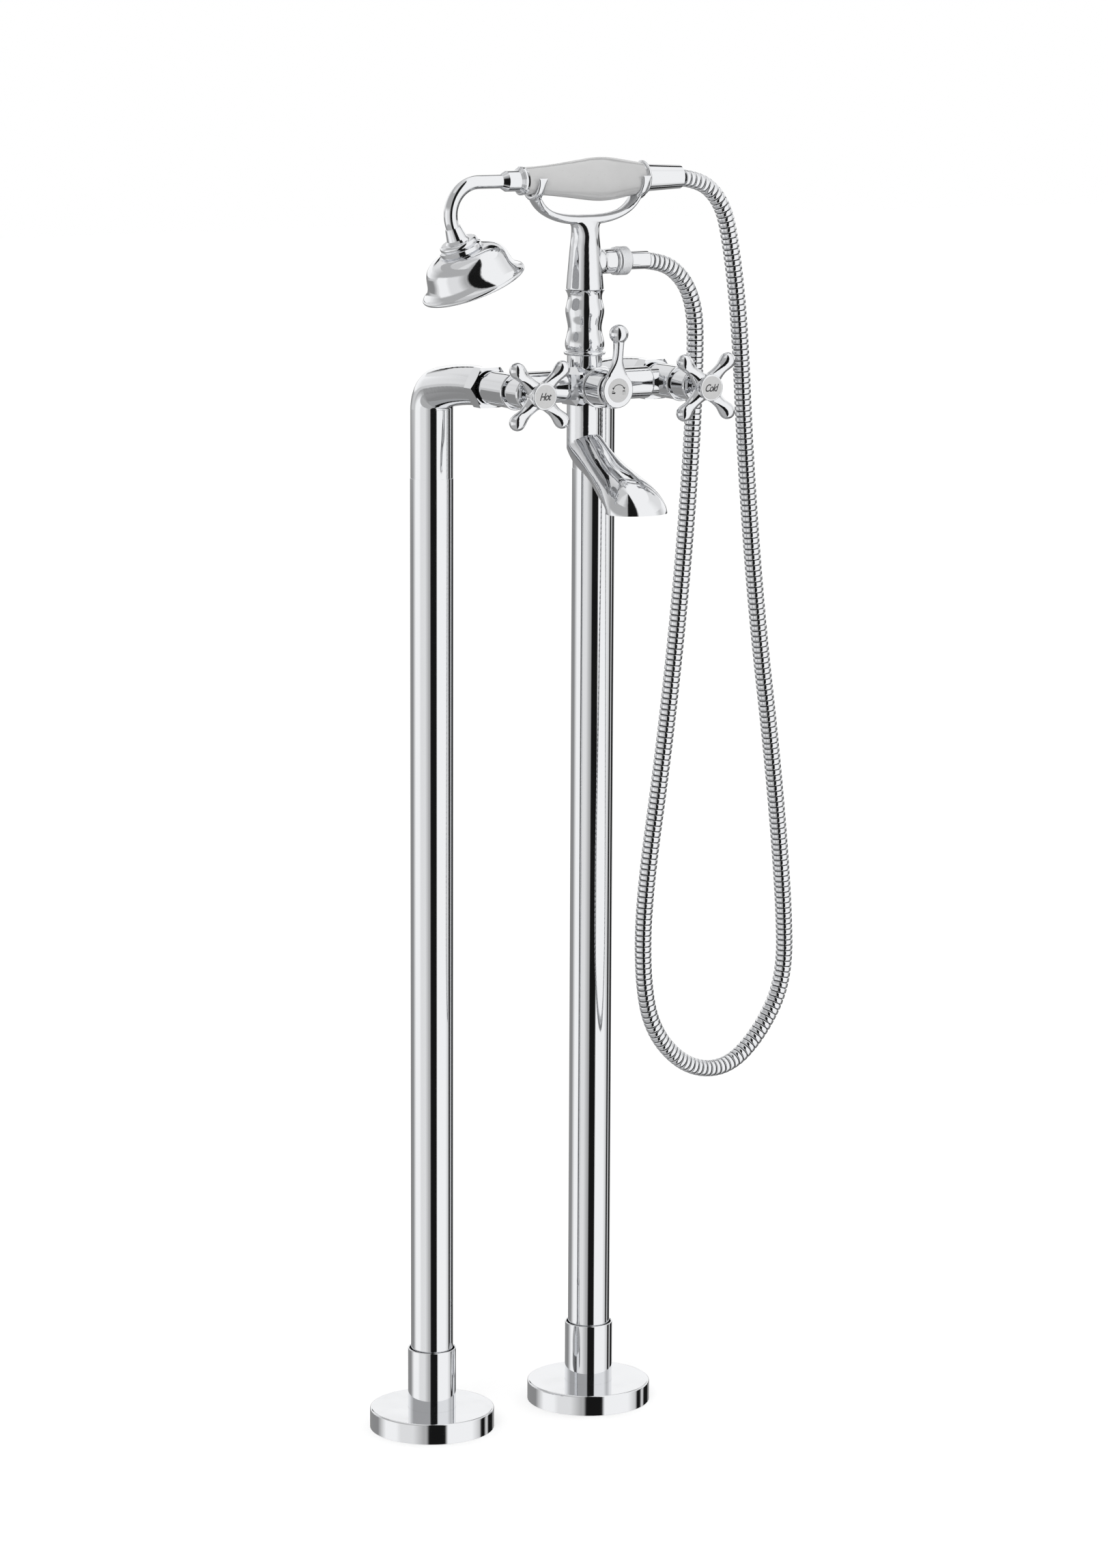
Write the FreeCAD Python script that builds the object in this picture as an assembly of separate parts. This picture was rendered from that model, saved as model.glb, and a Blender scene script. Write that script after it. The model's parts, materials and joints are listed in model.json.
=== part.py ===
"""Floor standing bath filler: two supply legs, a crossbar mixer, a spout and a hand shower.

Millimetres. The origin is on the floor, midway between the two legs. +Z is up, +X is
towards the cold leg, and the taps, the lever and the spout face -Y.
"""
import FreeCAD, Part
import math
import os

# ---------------------------------------------------------------- driving sizes
# Legs and floor fixing
valve_height = 859.0      # axis of taps, crossbar and lever
leg_spacing = 150.0       # hot leg to cold leg, centre to centre
leg_od = 34.4             # chromed standpipe
leg_wall = 1.5
supply_od = 22.0          # water pipe inside each standpipe
supply_wall = 1.0
supply_engagement = 10.0  # how far the water pipe enters the sockets at its two ends
leg_top = valve_height - 79.0     # seam between standpipe and upper bend
plate_od = 86.0           # floor plate under the cover flange
plate_thickness = 6.0
boss_height = 30.0        # spigot of the floor plate inside the standpipe
inlet_bore = 18.6         # G 1/2 female thread, minor diameter
inlet_depth = 14.0
fixing_spacing = 62.0     # front to back, two floor screws in each plate
fixing_hole = 6.0
flange_od = 101.6
flange_height = 16.6
flange_wall = 2.0
flange_edge = 1.4         # rounding of the top edge
collar_od = 39.2          # sliding collar that covers the fixing
collar_top = 66.8
collar_wall = 1.2
collar_lift = 8.0         # underside of the collar above the floor
seal_section = 2.0        # O-ring section

# Upper bend and union
body_reach = 108.0        # crossbar axis, forward of the leg axis
bend_radius = 18.0        # centre line of the tight elbow above the leg
run_radius = 330.0        # centre line of the slow curve from elbow to union
bend_start_od = 33.8      # the bend tapers from this, just above the seam,
elbow_od = 32.6           # to this where elbow and slow curve meet,
bend_od = 30.4            # and to this at the union
spigot_length = 18.0      # bend's spigot down inside the standpipe
union_back = body_reach - 28.0    # union hexagon's rear face, forward of the leg axis
union_length = 13.5
union_flats = 31.0
union_chamfer = 1.6
union_land = 0.2          # how far the turned chamfer bites into the flats
union_neck = 3.0          # groove between hexagon and valve body
union_neck_od = 21.0
union_bore = 14.0
union_thread_od = 23.0
union_thread_length = 11.0

# Mixer body
sleeve_od = 26.5          # valve sleeve, along Y
sleeve_front = body_reach + 21.0
drum_od = 25.2            # crossbar
drum_inner = 19.5         # from the centre plane to the drum's inner end
drum_groove = 4.0         # groove between drum and valve sleeve
drum_round = 2.6
groove_depth = 2.2
block_x = 37.0            # faceted centre block
block_y = 31.2
block_z = 29.6
block_chamfer = 5.0
neck_od = 27.2            # upright stubs above and below the block
seam_drop = 27.0          # crossbar axis down to the spout seam
bead_rise = 23.6          # crossbar axis up to the riser's foot
spigot_od = 18.0          # threaded spigots of spout and riser
spigot_reach = 9.0
fit = 0.05                # radial clearance of everything that screws or slides in
soft_gap = 0.3            # radial clearance round the hose where it is not clamped

# Taps
cartridge_od = 18.4
cartridge_length = 27.0
cartridge_proud = 6.5     # part of the cartridge that stands in the bonnet
guide_depth = 12.0        # from a cartridge's back to the bore that guides its spindle
seal_groove_start = 2.0
seal_groove_width = 1.6
seal_groove_depth = 0.6
turning_gap = 0.5         # round a turning hub where it enters a cover
bead_od = 28.2
bead_width = 2.5
bonnet_od = 23.6
bonnet_wall = 2.0
bonnet_front = sleeve_front + 22.5    # nose of the bonnet
bonnet_round = 2.2
spindle_od = 8.0
handle_front = bonnet_front + 22.9    # rim of the hub
hub_back_od = 14.4
hub_sunk = 0.7            # how far the hub's back reaches into the bonnet's nose
hub_counterbore = 1.0     # round hole at the hub's back, ahead of the square one
hub_band = 1.6            # cylindrical band behind the rim
hub_band_back = 4.5       # where the bulb meets the slope up to that band
hub_edge = 0.4
hub_rim_od = 20.8
disc_od = 18.2
disc_thickness = 2.0
disc_edge = 0.5
disc_proud = 0.4          # how far the index disc stands out of its rim
arm_pitch = 28.9          # hub axis to ball centre
ball_od = 11.5
arm_neck_od = 6.2
arm_setback = 8.6         # ball plane behind the rim
screw_head_od = 8.0
screw_od = 4.0
screw_socket = 3.0        # across flats
screw_length = 12.0
screw_head_height = 3.0
screw_web = 2.4           # metal of the handle under the screw's head
disc_clearance = 0.6      # between the screw's head and the index disc
drive_square = 5.6        # square end of each spindle, in a square hole

# Diverter
diverter_ring_front = body_reach + 24.0
diverter_ring_od = 32.0
diverter_ring_width = 2.2
diverter_od = 29.5
diverter_front = diverter_ring_front + 20.0
diverter_bore = 24.0
diverter_seat = 4.0       # back of its cartridge, in front of the crossbar axis
diverter_hole_od = 12.0
diverter_edge = 1.0
lever_face = diverter_front + 6.2     # front of the lever's eye
lever_thickness = 5.0
lever_eye_od = 27.6
lever_ball_od = 14.8
lever_reach = 43.3
lever_index_od = 18.6
lever_index_thickness = 1.2
lever_screw_head = 1.5    # height of its low head
lever_drive = 1.8         # how far the spindle's square enters the lever
lever_edge = 1.8

# Riser column and cradle
riser_top = valve_height + 74.0
riser_bore = 16.0
riser_bead = 1.6          # radius of the bead at the foot
riser_step = 1.0          # how far the bead's flat stands outside the neck
riser_foot_od = 28.0
riser_belly_od = 30.3
riser_waist_od = 26.3
riser_shoulder_od = 30.1
riser_neck_od = 26.7
riser_rim_od = 31.3
riser_pipe_wall = 1.5     # of the spigot below the foot
cradle_stem_od = 29.2     # at the riser
cradle_stem_top_od = 20.6
outlet_height = riser_top + 21.2
outlet_od = 19.2
outlet_end = 25.0         # from the riser axis
outlet_thread_od = 18.0
outlet_thread_length = 8.0
outlet_bore = 10.0
saddle_x = 46.5           # each saddle from the riser axis
saddle_width = 6.2
saddle_gap = 0.1          # between porcelain and saddle
saddle_wall = 2.0
saddle_drop = 1.6         # how far the crescent's outer circle lies below its bore
horn_rise = 2.6           # horn tips above the handset axis
fork_depth = 15.0         # front to back
handset_height = outlet_height + 63.6     # axis of the grip
fork_top = handset_height - 27.4  # upper face of the fork over the stem
fork_thickness = 6.8      # where it meets the stem

# Hand shower
grip_left = -55.4
grip_right = 48.4
grip_left_od = 20.9
grip_right_od = 24.6
grip_max_od = 33.8
grip_max_x = 14.6
inner_tube_od = 12.0
inner_tube_wall = 1.5
front_collar_od = 21.9
front_collar_end = -59.8
rear_collar_od = 27.0
rear_collar_end = 54.2
hand_thread_od = 16.0     # male thread for the hose's nut
hand_thread_length = 13.8
hand_washer_od = 15.0
sleeve_end = -76.0        # step from the arm's sleeve to its thin tube
sleeve_taper = 4.4        # length of that step
arm_sleeve_od = 15.8
arm_od = 10.5
arm_wall = 1.4
arm_bend = 24.5           # centre line
arm_bend_x = -95.3
rose_tilt = 23.0          # from straight down towards the column
rose_rim_od = 82.4
rose_wall = 1.6
rose_neck_length = 11.0   # conical nut on the arm's end
rose_neck_wide = 16.0
rose_neck_rim_od = 19.2
button_length = 9.0       # stepped button on the bell's crown
button_od = 30.0
button_flange_od = 32.8
rose_length = 48.0        # from the arm's end to the rim
spray_plate_od = 72.4
plate_recess = 1.6        # spray plate inside the rim
plate_depth = 3.0
plate_ledge = 1.2         # width of the ledge the spray plate sits on
nozzle_rings = 4
nozzle_od = 1.8
nozzle_margin = 4.0       # from the outermost ring to the plate's edge
nozzles_per_ring = 6      # in the first ring; twice that in the second, and so on
plate_edge = 0.8

# Spout
spout_neck_od = 27.2
mitre_height = valve_height - 45.0    # where the neck meets the slanting tube
mitre_turn = 58.0         # from straight down to the slant
spout_mouth_x = 50.0      # width of the mouth
spout_mouth_y = 38.0
spout_reach = 78.0        # mouth centre in front of the crossbar axis
mouth_height = mitre_height - 47.0
spout_wall = 2.2
lip_height = 2.4
lip_proud = 1.3

# Hose
hose_od = 13.4
hose_bore_od = 8.4
hose_groove = 0.9         # depth of the groove between two ribs
hose_ribs = 150
hose_end_od = 12.4        # plain ends, inside ferrule and cone nut
hose_start = 41.0         # distance of the hose's first end from the riser axis
hose_finish = 70.0        # and of its far end, behind the hand shower
ferrule_od = 14.2
ferrule_end = 55.8        # from the riser axis
ferrule_flange_od = 17.4
nut_od = 22.2
nut_length = 13.9
nut_wall = 1.6            # end wall that pulls on the ferrule's flange
washer_thickness = 2.0
cone_nut_back_od = 21.3
cone_nut_front_od = 18.2
cone_nut_end = 85.5
cone_nut_gap = 3.0        # plain hose that shows behind the cone nut
# route in the plane of the crossbar, from the outlet round to the hand shower: X, and the drop
# below the outlet for the side that hangs from it and for the loop, then below the grip's axis
outlet_side = [
    (hose_start, 0.0), (67.7, 0.0), (90.3, 14.6), (101.3, 39.1), (102.2, 78.7), (99.6, 150.6),
    (90.6, 264.0), (76.4, 386.7), (58.2, 506.6), (57.4, 574.1), (67.7, 619.2), (100.5, 652.2),
    (139.3, 657.0), (171.1, 630.7), (194.4, 589.2),
]
handset_side = [
    (192.9, 588.2), (180.6, 472.8), (162.5, 348.1), (149.8, 217.8), (143.7, 117.8),
    (134.7, 53.7), (125.6, 19.0), (100.9, 0.0), (hose_finish, 0.0),
]

# ---------------------------------------------------------------- helpers
Vec = FreeCAD.Vector
UP = Vec(0, 0, 1)
FRONT = Vec(0, -1, 0)
RIGHT = Vec(1, 0, 0)
LEFT = Vec(-1, 0, 0)
leg_x = {"hot": -leg_spacing / 2, "cold": leg_spacing / 2}


def place(shape, base, axis):
    """Turns a shape drawn along +Z to lie along axis, with its own origin at base."""
    move = FreeCAD.Placement(base, FreeCAD.Rotation(UP, axis))
    shape = shape.copy()
    shape.Placement = move.multiply(shape.Placement)
    return shape


def edges_through(start, moves, point):
    """Straight edges to a point, or arcs through (middle, end), from start onwards."""
    edges = []
    here = start
    for move in moves:
        if isinstance(move[0], tuple):
            middle, end = move
            edges.append(Part.Arc(point(here), point(middle), point(end)).toShape())
        else:
            end = move
            edges.append(Part.LineSegment(point(here), point(end)).toShape())
        here = end
    if here != start:
        edges.append(Part.LineSegment(point(here), point(start)).toShape())
    return edges


def lathe(start, *moves):
    """A solid of revolution about Z from an outline of (radius, height) points."""
    edges = edges_through(start, moves, lambda p: Vec(p[0], 0, p[1]))
    face = Part.Face(Part.Wire(edges))
    return face.revolve(Vec(0, 0, 0), UP, 360)


def rod(diameter, low, high):
    return Part.makeCylinder(diameter / 2, high - low, Vec(0, 0, low))


def tube(outer, inner, low, high):
    return rod(outer, low, high).cut(rod(inner, low, high))


def square_bar(size, low, high):
    return Part.makeBox(size, size, high - low, Vec(-size / 2, -size / 2, low))


def eased(radius, height, edge):
    """Arc, as (middle, end), that rounds an outer corner from below it onto its top face."""
    slope = edge * (1 - math.sqrt(0.5))
    return ((radius - slope, height - slope), (radius - edge, height))


def ring_seal(diameter, section, height):
    """An O-ring whose centre line has the given diameter."""
    return Part.makeTorus(diameter / 2, section / 2, Vec(0, 0, height))


def front_of(x, distance):
    """A point on a tap axis, at a distance forward of the leg axis."""
    return Vec(x, -distance, valve_height)


def along_front(shape, x):
    """Lays a shape drawn along +Z, measured from the leg axis, forward along a tap axis."""
    return place(shape, front_of(x, 0), FRONT)


def spline(points):
    curve = Part.BSplineCurve()
    curve.interpolate(points)
    return curve.toShape()


def smooth_lathe(curve_points, closing):
    """Revolves a smooth curve of (radius, height) points, closed by straight edges."""
    curve = spline([Vec(r, 0, h) for r, h in curve_points])
    path = [curve_points[-1]] + closing + [curve_points[0]]
    edges = [curve]
    for a, b in zip(path, path[1:]):
        edges.append(Part.LineSegment(Vec(a[0], 0, a[1]), Vec(b[0], 0, b[1])).toShape())
    face = Part.Face(Part.Wire(edges))
    return face.revolve(Vec(0, 0, 0), UP, 360)


# ---------------------------------------------------------------- legs
leg_id = leg_od - 2 * leg_wall
boss_od = leg_id - 2 * fit
socket_od = supply_od + 2 * fit
supply_id = supply_od - 2 * supply_wall


def floor_plate():
    """Screwed to the floor: carries the standpipe on its spigot and takes the supply below."""
    plate = rod(plate_od, 0, plate_thickness)
    plate = plate.fuse(rod(boss_od, plate_thickness, boss_height))
    plate = plate.cut(rod(inlet_bore, 0, inlet_depth))
    plate = plate.cut(rod(supply_id, inlet_depth, boss_height - supply_engagement))
    plate = plate.cut(rod(socket_od, boss_height - supply_engagement, boss_height))
    for side in (-1, 1):
        hole = rod(fixing_hole, 0, plate_thickness)
        plate = plate.cut(place(hole, Vec(0, side * fixing_spacing / 2, 0), UP))
    return plate.removeSplitter()


def floor_flange():
    """Cover flange: a turned cap over the floor plate, open below."""
    bore = collar_od / 2 + fit
    outer = flange_od / 2
    inner = outer - flange_wall
    top = flange_height
    return lathe(
        (outer, 0),
        (outer, top - flange_edge),
        eased(outer, top, flange_edge),
        (bore, top),
        (bore, top - flange_wall),
        (inner - flange_edge, top - flange_wall),
        (inner, top - flange_wall - flange_edge),
        (inner, 0),
    )


def height_collar():
    """Collar that slides down the standpipe to the floor, its top edge slightly rounded."""
    outer = collar_od / 2
    inner = outer - collar_wall
    return lathe(
        (inner, collar_lift),
        (outer, collar_lift),
        (outer, collar_top - collar_wall / 2),
        ((outer - collar_wall / 2, collar_top), (inner, collar_top - collar_wall / 2)),
    )


def collar_seal():
    """O-ring between collar and standpipe, a little below the collar's rim."""
    gap = collar_od / 2 - collar_wall - leg_od / 2
    section = gap - 2 * fit
    return ring_seal(leg_od + gap, section, collar_top - 3 * seal_section)


def standpipe():
    return tube(leg_od, leg_id, plate_thickness, leg_top)


def supply_pipe():
    low = boss_height - supply_engagement
    high = leg_top - spigot_length + supply_engagement
    return tube(supply_od, supply_id, low, high)


# ---------------------------------------------------------------- upper bends
def bend_section(diameter, base, axis):
    return Part.Wire(Part.Circle(base, axis, diameter / 2).toShape())


def swept_rod(path, diameter, start, axis):
    """A round bar that follows a path of tangent edges."""
    sweep = Part.BRepOffsetAPI.MakePipeShell(path)
    sweep.add(bend_section(diameter, start, axis))
    sweep.build()
    sweep.makeSolid()
    return sweep.shape()


def tapered_bend(spine, start_od, start, start_axis, end_od, end, end_axis):
    """A round bar along a curved spine, from one diameter to another."""
    sweep = Part.BRepOffsetAPI.MakePipeShell(Part.Wire(spine))
    sweep.add(bend_section(start_od, start, start_axis))
    sweep.add(bend_section(end_od, end, end_axis))
    sweep.build()
    sweep.makeSolid()
    return sweep.shape()


def bend_form(start_od, middle_od, end_od):
    """A tight elbow, then a slow curve that levels out at the union, tapering all the way."""
    rise = math.asin((union_back - bend_radius) / (run_radius - bend_radius))
    join = Vec(
        0,
        -union_back + run_radius * math.sin(rise),
        valve_height - run_radius * (1 - math.cos(rise)),
    )
    heading = Vec(0, -math.cos(rise), math.sin(rise))
    turn = join.z - bend_radius * math.cos(rise)
    low = Vec(0, 0, turn)
    high = Vec(0, -union_back, valve_height)
    half = (math.pi / 2 - rise) / 2
    corner = Vec(0, -bend_radius * (1 - math.cos(half)), turn + bend_radius * math.sin(half))
    crest = Vec(
        0,
        -union_back + run_radius * math.sin(rise / 2),
        valve_height - run_radius * (1 - math.cos(rise / 2)),
    )
    elbow_spine = Part.Arc(low, corner, join).toShape()
    run_spine = Part.Arc(join, crest, high).toShape()
    elbow = tapered_bend(elbow_spine, start_od, low, UP, middle_od, join, heading)
    run = tapered_bend(run_spine, middle_od, join, heading, end_od, high, FRONT)
    upright = Part.makeCylinder(start_od / 2, turn - leg_top, Vec(0, 0, leg_top))
    return elbow.fuse([run, upright])


def upper_bend():
    """Bend from standpipe to union, hollow, with a spigot down inside the standpipe."""
    inner_od = union_thread_od + 2 * fit
    bend = bend_form(bend_start_od, elbow_od, bend_od)
    bend = bend.fuse(rod(leg_id - 2 * fit, leg_top - spigot_length, leg_top))
    bend = bend.cut(bend_form(socket_od, inner_od, inner_od))
    bend = bend.cut(rod(socket_od, leg_top - spigot_length, leg_top))
    seat = along_front(rod(inner_od, union_back - union_thread_length, union_back), 0)
    return bend.cut(seat).removeSplitter()


def hexagon_bar(flats, low, high):
    """A hexagonal bar along Z with corners to the left and right."""
    corner = flats / math.sqrt(3)
    points = []
    for side in range(7):
        angle = math.radians(60 * side)
        points.append(Vec(corner * math.cos(angle), corner * math.sin(angle), low))
    return Part.Face(Part.makePolygon(points)).extrude(Vec(0, 0, high - low))


def chamfered_hexagon(flats, low, high):
    """A hexagonal bar whose corners are turned off at both ends."""
    inner = flats / 2 - union_land
    spread = flats / math.sqrt(3) + union_land
    turned = lathe(
        (0, low),
        (inner, low),
        (spread, low + union_chamfer),
        (spread, high - union_chamfer),
        (inner, high),
        (0, high),
    )
    return hexagon_bar(flats, low, high).common(turned)


def union_fitting():
    """Hexagonal union with one thread into the bend and one into the valve sleeve."""
    front = union_back + union_length
    body = chamfered_hexagon(union_flats, union_back, front)
    neck_end = front + union_neck
    body = body.fuse(rod(union_thread_od, union_back - union_thread_length, union_back))
    body = body.fuse(rod(union_neck_od, front, neck_end))
    body = body.fuse(rod(spigot_od, neck_end, neck_end + spigot_reach))
    return body.cut(rod(union_bore, union_back - union_thread_length, neck_end + spigot_reach))


# ---------------------------------------------------------------- mixer body
sleeve_back = union_back + union_length + union_neck
sleeve_side = leg_spacing / 2 - sleeve_od / 2
cartridge_back = sleeve_front - cartridge_length + cartridge_proud
body_centre = front_of(0, body_reach)


def drum():
    """One half of the crossbar, drawn along +Z from the centre, with rounded shoulders."""
    radius = drum_od / 2
    root = radius - groove_depth
    near = drum_inner
    far = sleeve_side - drum_groove
    r = drum_round
    s = r * (1 - math.sqrt(0.5))
    return lathe(
        (0, 0),
        (root, 0),
        (root, near),
        (radius - r, near),
        ((radius - s, near + s), (radius, near + r)),
        (radius, far - r),
        ((radius - s, far - s), (radius - r, far)),
        (root, far),
        (root, leg_spacing / 2),
        (0, leg_spacing / 2),
    )


def chamfered_block():
    """Faceted centre block: a brick with every edge cut away at 45 degrees."""
    half = Vec(block_x / 2, block_y / 2, block_z / 2)
    block = Part.makeBox(block_x, block_y, block_z, body_centre - half)
    return block.makeChamfer(block_chamfer, block.Edges)


def mixer_body():
    """Crossbar, valve sleeves, centre block and the stubs for riser, spout and diverter."""
    body = chamfered_block()
    seam = valve_height - seam_drop
    stub = rod(neck_od, seam, valve_height + bead_rise)
    body = body.fuse(place(stub, Vec(0, -body_reach, 0), UP))
    nose = rod(diverter_od, body_reach, diverter_ring_front - diverter_ring_width)
    body = body.fuse(along_front(nose, 0))
    for direction in (LEFT, RIGHT):
        body = body.fuse(place(drum(), body_centre, direction))
    for x in leg_x.values():
        body = body.fuse(along_front(rod(sleeve_od, sleeve_back, sleeve_front), x))
    for x in leg_x.values():
        inlet = rod(spigot_od + 2 * fit, sleeve_back, sleeve_back + spigot_reach)
        body = body.cut(along_front(inlet, x))
        seat = rod(cartridge_od + 2 * fit, cartridge_back, sleeve_front)
        body = body.cut(along_front(seat, x))
    seat = rod(diverter_bore, body_reach, diverter_ring_front - diverter_ring_width)
    body = body.cut(along_front(seat, 0))
    socket = spigot_od + 2 * fit
    low = place(rod(socket, seam, seam + spigot_reach), Vec(0, -body_reach, 0), UP)
    top = valve_height + bead_rise
    high = place(rod(socket, top - spigot_reach, top), Vec(0, -body_reach, 0), UP)
    return body.cut([low, high]).removeSplitter()


# ---------------------------------------------------------------- taps
spindle_back = cartridge_back + guide_depth
hub_back = bonnet_front - hub_sunk
disc_floor = handle_front + disc_proud - disc_thickness
screw_seat = disc_floor - screw_head_height - disc_clearance
spindle_front = screw_seat - screw_web
shoulder = hub_back + hub_counterbore     # where the round spindle becomes square


def cartridge(back, diameter, length):
    """Ceramic valve cartridge: body, seal groove and a bore that guides the spindle."""
    front = back + length
    body = rod(diameter, back, front)
    start = back + seal_groove_start
    groove_od = diameter + seal_groove_depth
    groove = tube(groove_od, diameter - 2 * seal_groove_depth, start, start + seal_groove_width)
    bore = rod(spindle_od + 2 * fit, back + guide_depth, front)
    return body.cut([groove, bore])


def spindle(back, round_end, front):
    """Turning spindle: round in its cartridge, square in its handle, tapped for the screw."""
    bar = rod(spindle_od, back, round_end).fuse(square_bar(drive_square, round_end, front))
    return bar.cut(rod(screw_od + 2 * fit, front - screw_length, front))


def bonnet():
    """Cover over the cartridge: a bead against the valve sleeve, then a plain barrel."""
    back = sleeve_front
    bead = bead_width / 2
    outer = bonnet_od / 2
    inner = outer - bonnet_wall
    nose = bonnet_front
    hole = hub_back_od / 2 + turning_gap
    return lathe(
        (inner, back),
        (bead_od / 2 - bead, back),
        ((bead_od / 2, back + bead), (bead_od / 2 - bead, back + bead_width)),
        (outer, back + bead_width),
        (outer, nose - bonnet_round),
        eased(outer, nose, bonnet_round),
        (hole, nose),
        (hole, nose - bonnet_wall),
        (inner, nose - bonnet_wall),
    )


def handle_hub():
    """Bulb-shaped hub with a shallow cup in its rim for the index disc."""
    rim = hub_rim_od / 2
    back = hub_back_od / 2
    waist = handle_front - hub_band_back
    belly = rim - hub_edge / 2
    cup = disc_od / 2 + fit
    return lathe(
        (0, hub_back),
        (back, hub_back),
        ((belly, (hub_back + waist) / 2), (rim - 3 * hub_edge, waist)),
        (rim, handle_front - hub_band),
        (rim, handle_front - hub_edge),
        (rim - hub_edge, handle_front),
        (cup, handle_front),
        (cup, disc_floor),
        (0, disc_floor),
    )


def handle_arm():
    """Arm of a cross handle along +Z: a slim neck that swells into a ball."""
    ball = ball_od / 2
    neck = arm_neck_od / 2
    flare = neck / 3
    start = hub_rim_od / 4
    joint = 118               # where neck and ball meet, in degrees from the ball's top

    def on_ball(degrees):
        angle = math.radians(degrees)
        return Vec(ball * math.sin(angle), 0, arm_pitch + ball * math.cos(angle))

    root = Vec(neck + flare, 0, start)
    join = on_ball(joint)
    curve = spline([
        root,
        Vec(neck, 0, arm_pitch * 0.45),
        Vec(neck + 0.7 * flare, 0, arm_pitch * 0.66),
        join,
    ])
    edges = [
        curve,
        Part.Arc(join, on_ball(joint / 2), on_ball(0)).toShape(),
        Part.LineSegment(on_ball(0), Vec(0, 0, start)).toShape(),
        Part.LineSegment(Vec(0, 0, start), root).toShape(),
    ]
    return Part.Face(Part.Wire(edges)).revolve(Vec(0, 0, 0), UP, 360)


def cross_handle(x):
    """Four ball-ended arms on the diagonals of a turned hub."""
    handle = along_front(handle_hub(), x)
    arm = handle_arm()
    plane = front_of(x, handle_front - arm_setback)
    for turn in (45, 135, 225, 315):
        angle = math.radians(turn)
        handle = handle.fuse(place(arm, plane, Vec(math.cos(angle), 0, math.sin(angle))))
    bore = rod(spindle_od + 2 * fit, hub_back, shoulder)
    square = square_bar(drive_square + 2 * fit, shoulder, spindle_front)
    shank = rod(screw_od + 2 * fit, spindle_front, screw_seat)
    head = rod(screw_head_od + 2 * fit, screw_seat, disc_floor)
    return handle.cut([along_front(hole, x) for hole in (bore, square, shank, head)])


def cap_screw(seat, length, head_height):
    """Socket screw that draws a handle onto its spindle."""
    top = seat + head_height
    screw = rod(screw_head_od, seat, top)
    screw = screw.fuse(rod(screw_od, seat - length, seat))
    return screw.cut(hexagon_bar(screw_socket, top - head_height * 0.6, top))


def index_disc(diameter, back, thickness):
    """White disc with a softly rounded front edge."""
    radius = diameter / 2
    front = back + thickness
    return lathe(
        (0, back),
        (radius, back),
        (radius, front - disc_edge),
        eased(radius, front, disc_edge),
        (0, front),
    )


# ---------------------------------------------------------------- diverter
diverter_back = body_reach + diverter_seat
diverter_cartridge_od = diverter_bore - 2 * fit
lever_back = lever_face - lever_thickness
lever_disc_floor = lever_face + disc_proud - lever_index_thickness
lever_screw_seat = lever_disc_floor - lever_screw_head
diverter_spindle_front = lever_back + lever_drive


def diverter_sleeve():
    """Cover over the diverter cartridge, with a beaded root ring."""
    back = diverter_ring_front - diverter_ring_width
    bead = diverter_ring_width / 2
    ring = diverter_ring_od / 2
    outer = diverter_od / 2
    inner = diverter_bore / 2
    edge = diverter_edge
    hole = diverter_hole_od / 2
    return lathe(
        (inner, back),
        (ring - bead, back),
        ((ring, back + bead), (ring - bead, diverter_ring_front)),
        (outer, diverter_ring_front),
        (outer, diverter_front - edge),
        (outer - edge, diverter_front),
        (hole, diverter_front),
        (hole, diverter_front - bonnet_wall),
        (inner, diverter_front - bonnet_wall),
    )


def oval(centre, width, depth, turn=0.0):
    """Closed smooth oval, width along X; turn leans its plane as a tube bends forward."""
    lean = math.radians(turn)
    points = []
    for step in range(12):
        angle = 2 * math.pi * step / 12
        across = depth / 2 * math.sin(angle)
        offset = Vec(
            width / 2 * math.cos(angle),
            across * math.cos(lean),
            -across * math.sin(lean),
        )
        points.append(centre + offset)
    curve = Part.BSplineCurve()
    curve.interpolate(points, True)
    return Part.Wire(curve.toShape())


def diverter_lever():
    """Lever: a round eye, a waisted stem that deepens as it narrows, and a ball."""
    eye = along_front(rod(lever_eye_od, lever_back, lever_face), 0)
    rims = [e for e in eye.Edges if isinstance(e.Curve, Part.Circle)]
    eye = eye.makeFillet(lever_edge, rims)
    middle = lever_back + lever_thickness / 2
    deep = lever_thickness
    # rise above the axis, width, depth front to back, and the middle's distance forward
    stations = [
        (lever_eye_od * 0.20, lever_eye_od * 0.84, deep - 0.6, middle),
        (lever_eye_od * 0.47, lever_eye_od * 0.60, deep + 0.6, middle + 0.3),
        (lever_eye_od * 0.78, lever_eye_od * 0.32, deep + 2.4, middle + 1.2),
        (lever_eye_od * 1.08, lever_eye_od * 0.19, deep + 3.6, middle + 1.9),
        (lever_reach - lever_ball_od * 0.30, lever_eye_od * 0.21, deep + 4.0, lever_face),
    ]
    wires = []
    for rise, width, depth, forward in stations:
        wires.append(oval(Vec(0, -forward, valve_height + rise), width, depth))
    stem = Part.makeLoft(wires, True)
    ball = Part.makeSphere(lever_ball_od / 2, Vec(0, -lever_face, valve_height + lever_reach))
    lever = eye.fuse([stem, ball])
    index = rod(lever_index_od + 2 * fit, lever_disc_floor, lever_face + lever_thickness)
    square = square_bar(drive_square + 2 * fit, lever_back, diverter_spindle_front)
    shank = rod(screw_od + 2 * fit, diverter_spindle_front, lever_screw_seat)
    head = rod(screw_head_od + 2 * fit, lever_screw_seat, lever_disc_floor)
    return lever.cut([along_front(s, 0) for s in (index, square, shank, head)])


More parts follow.
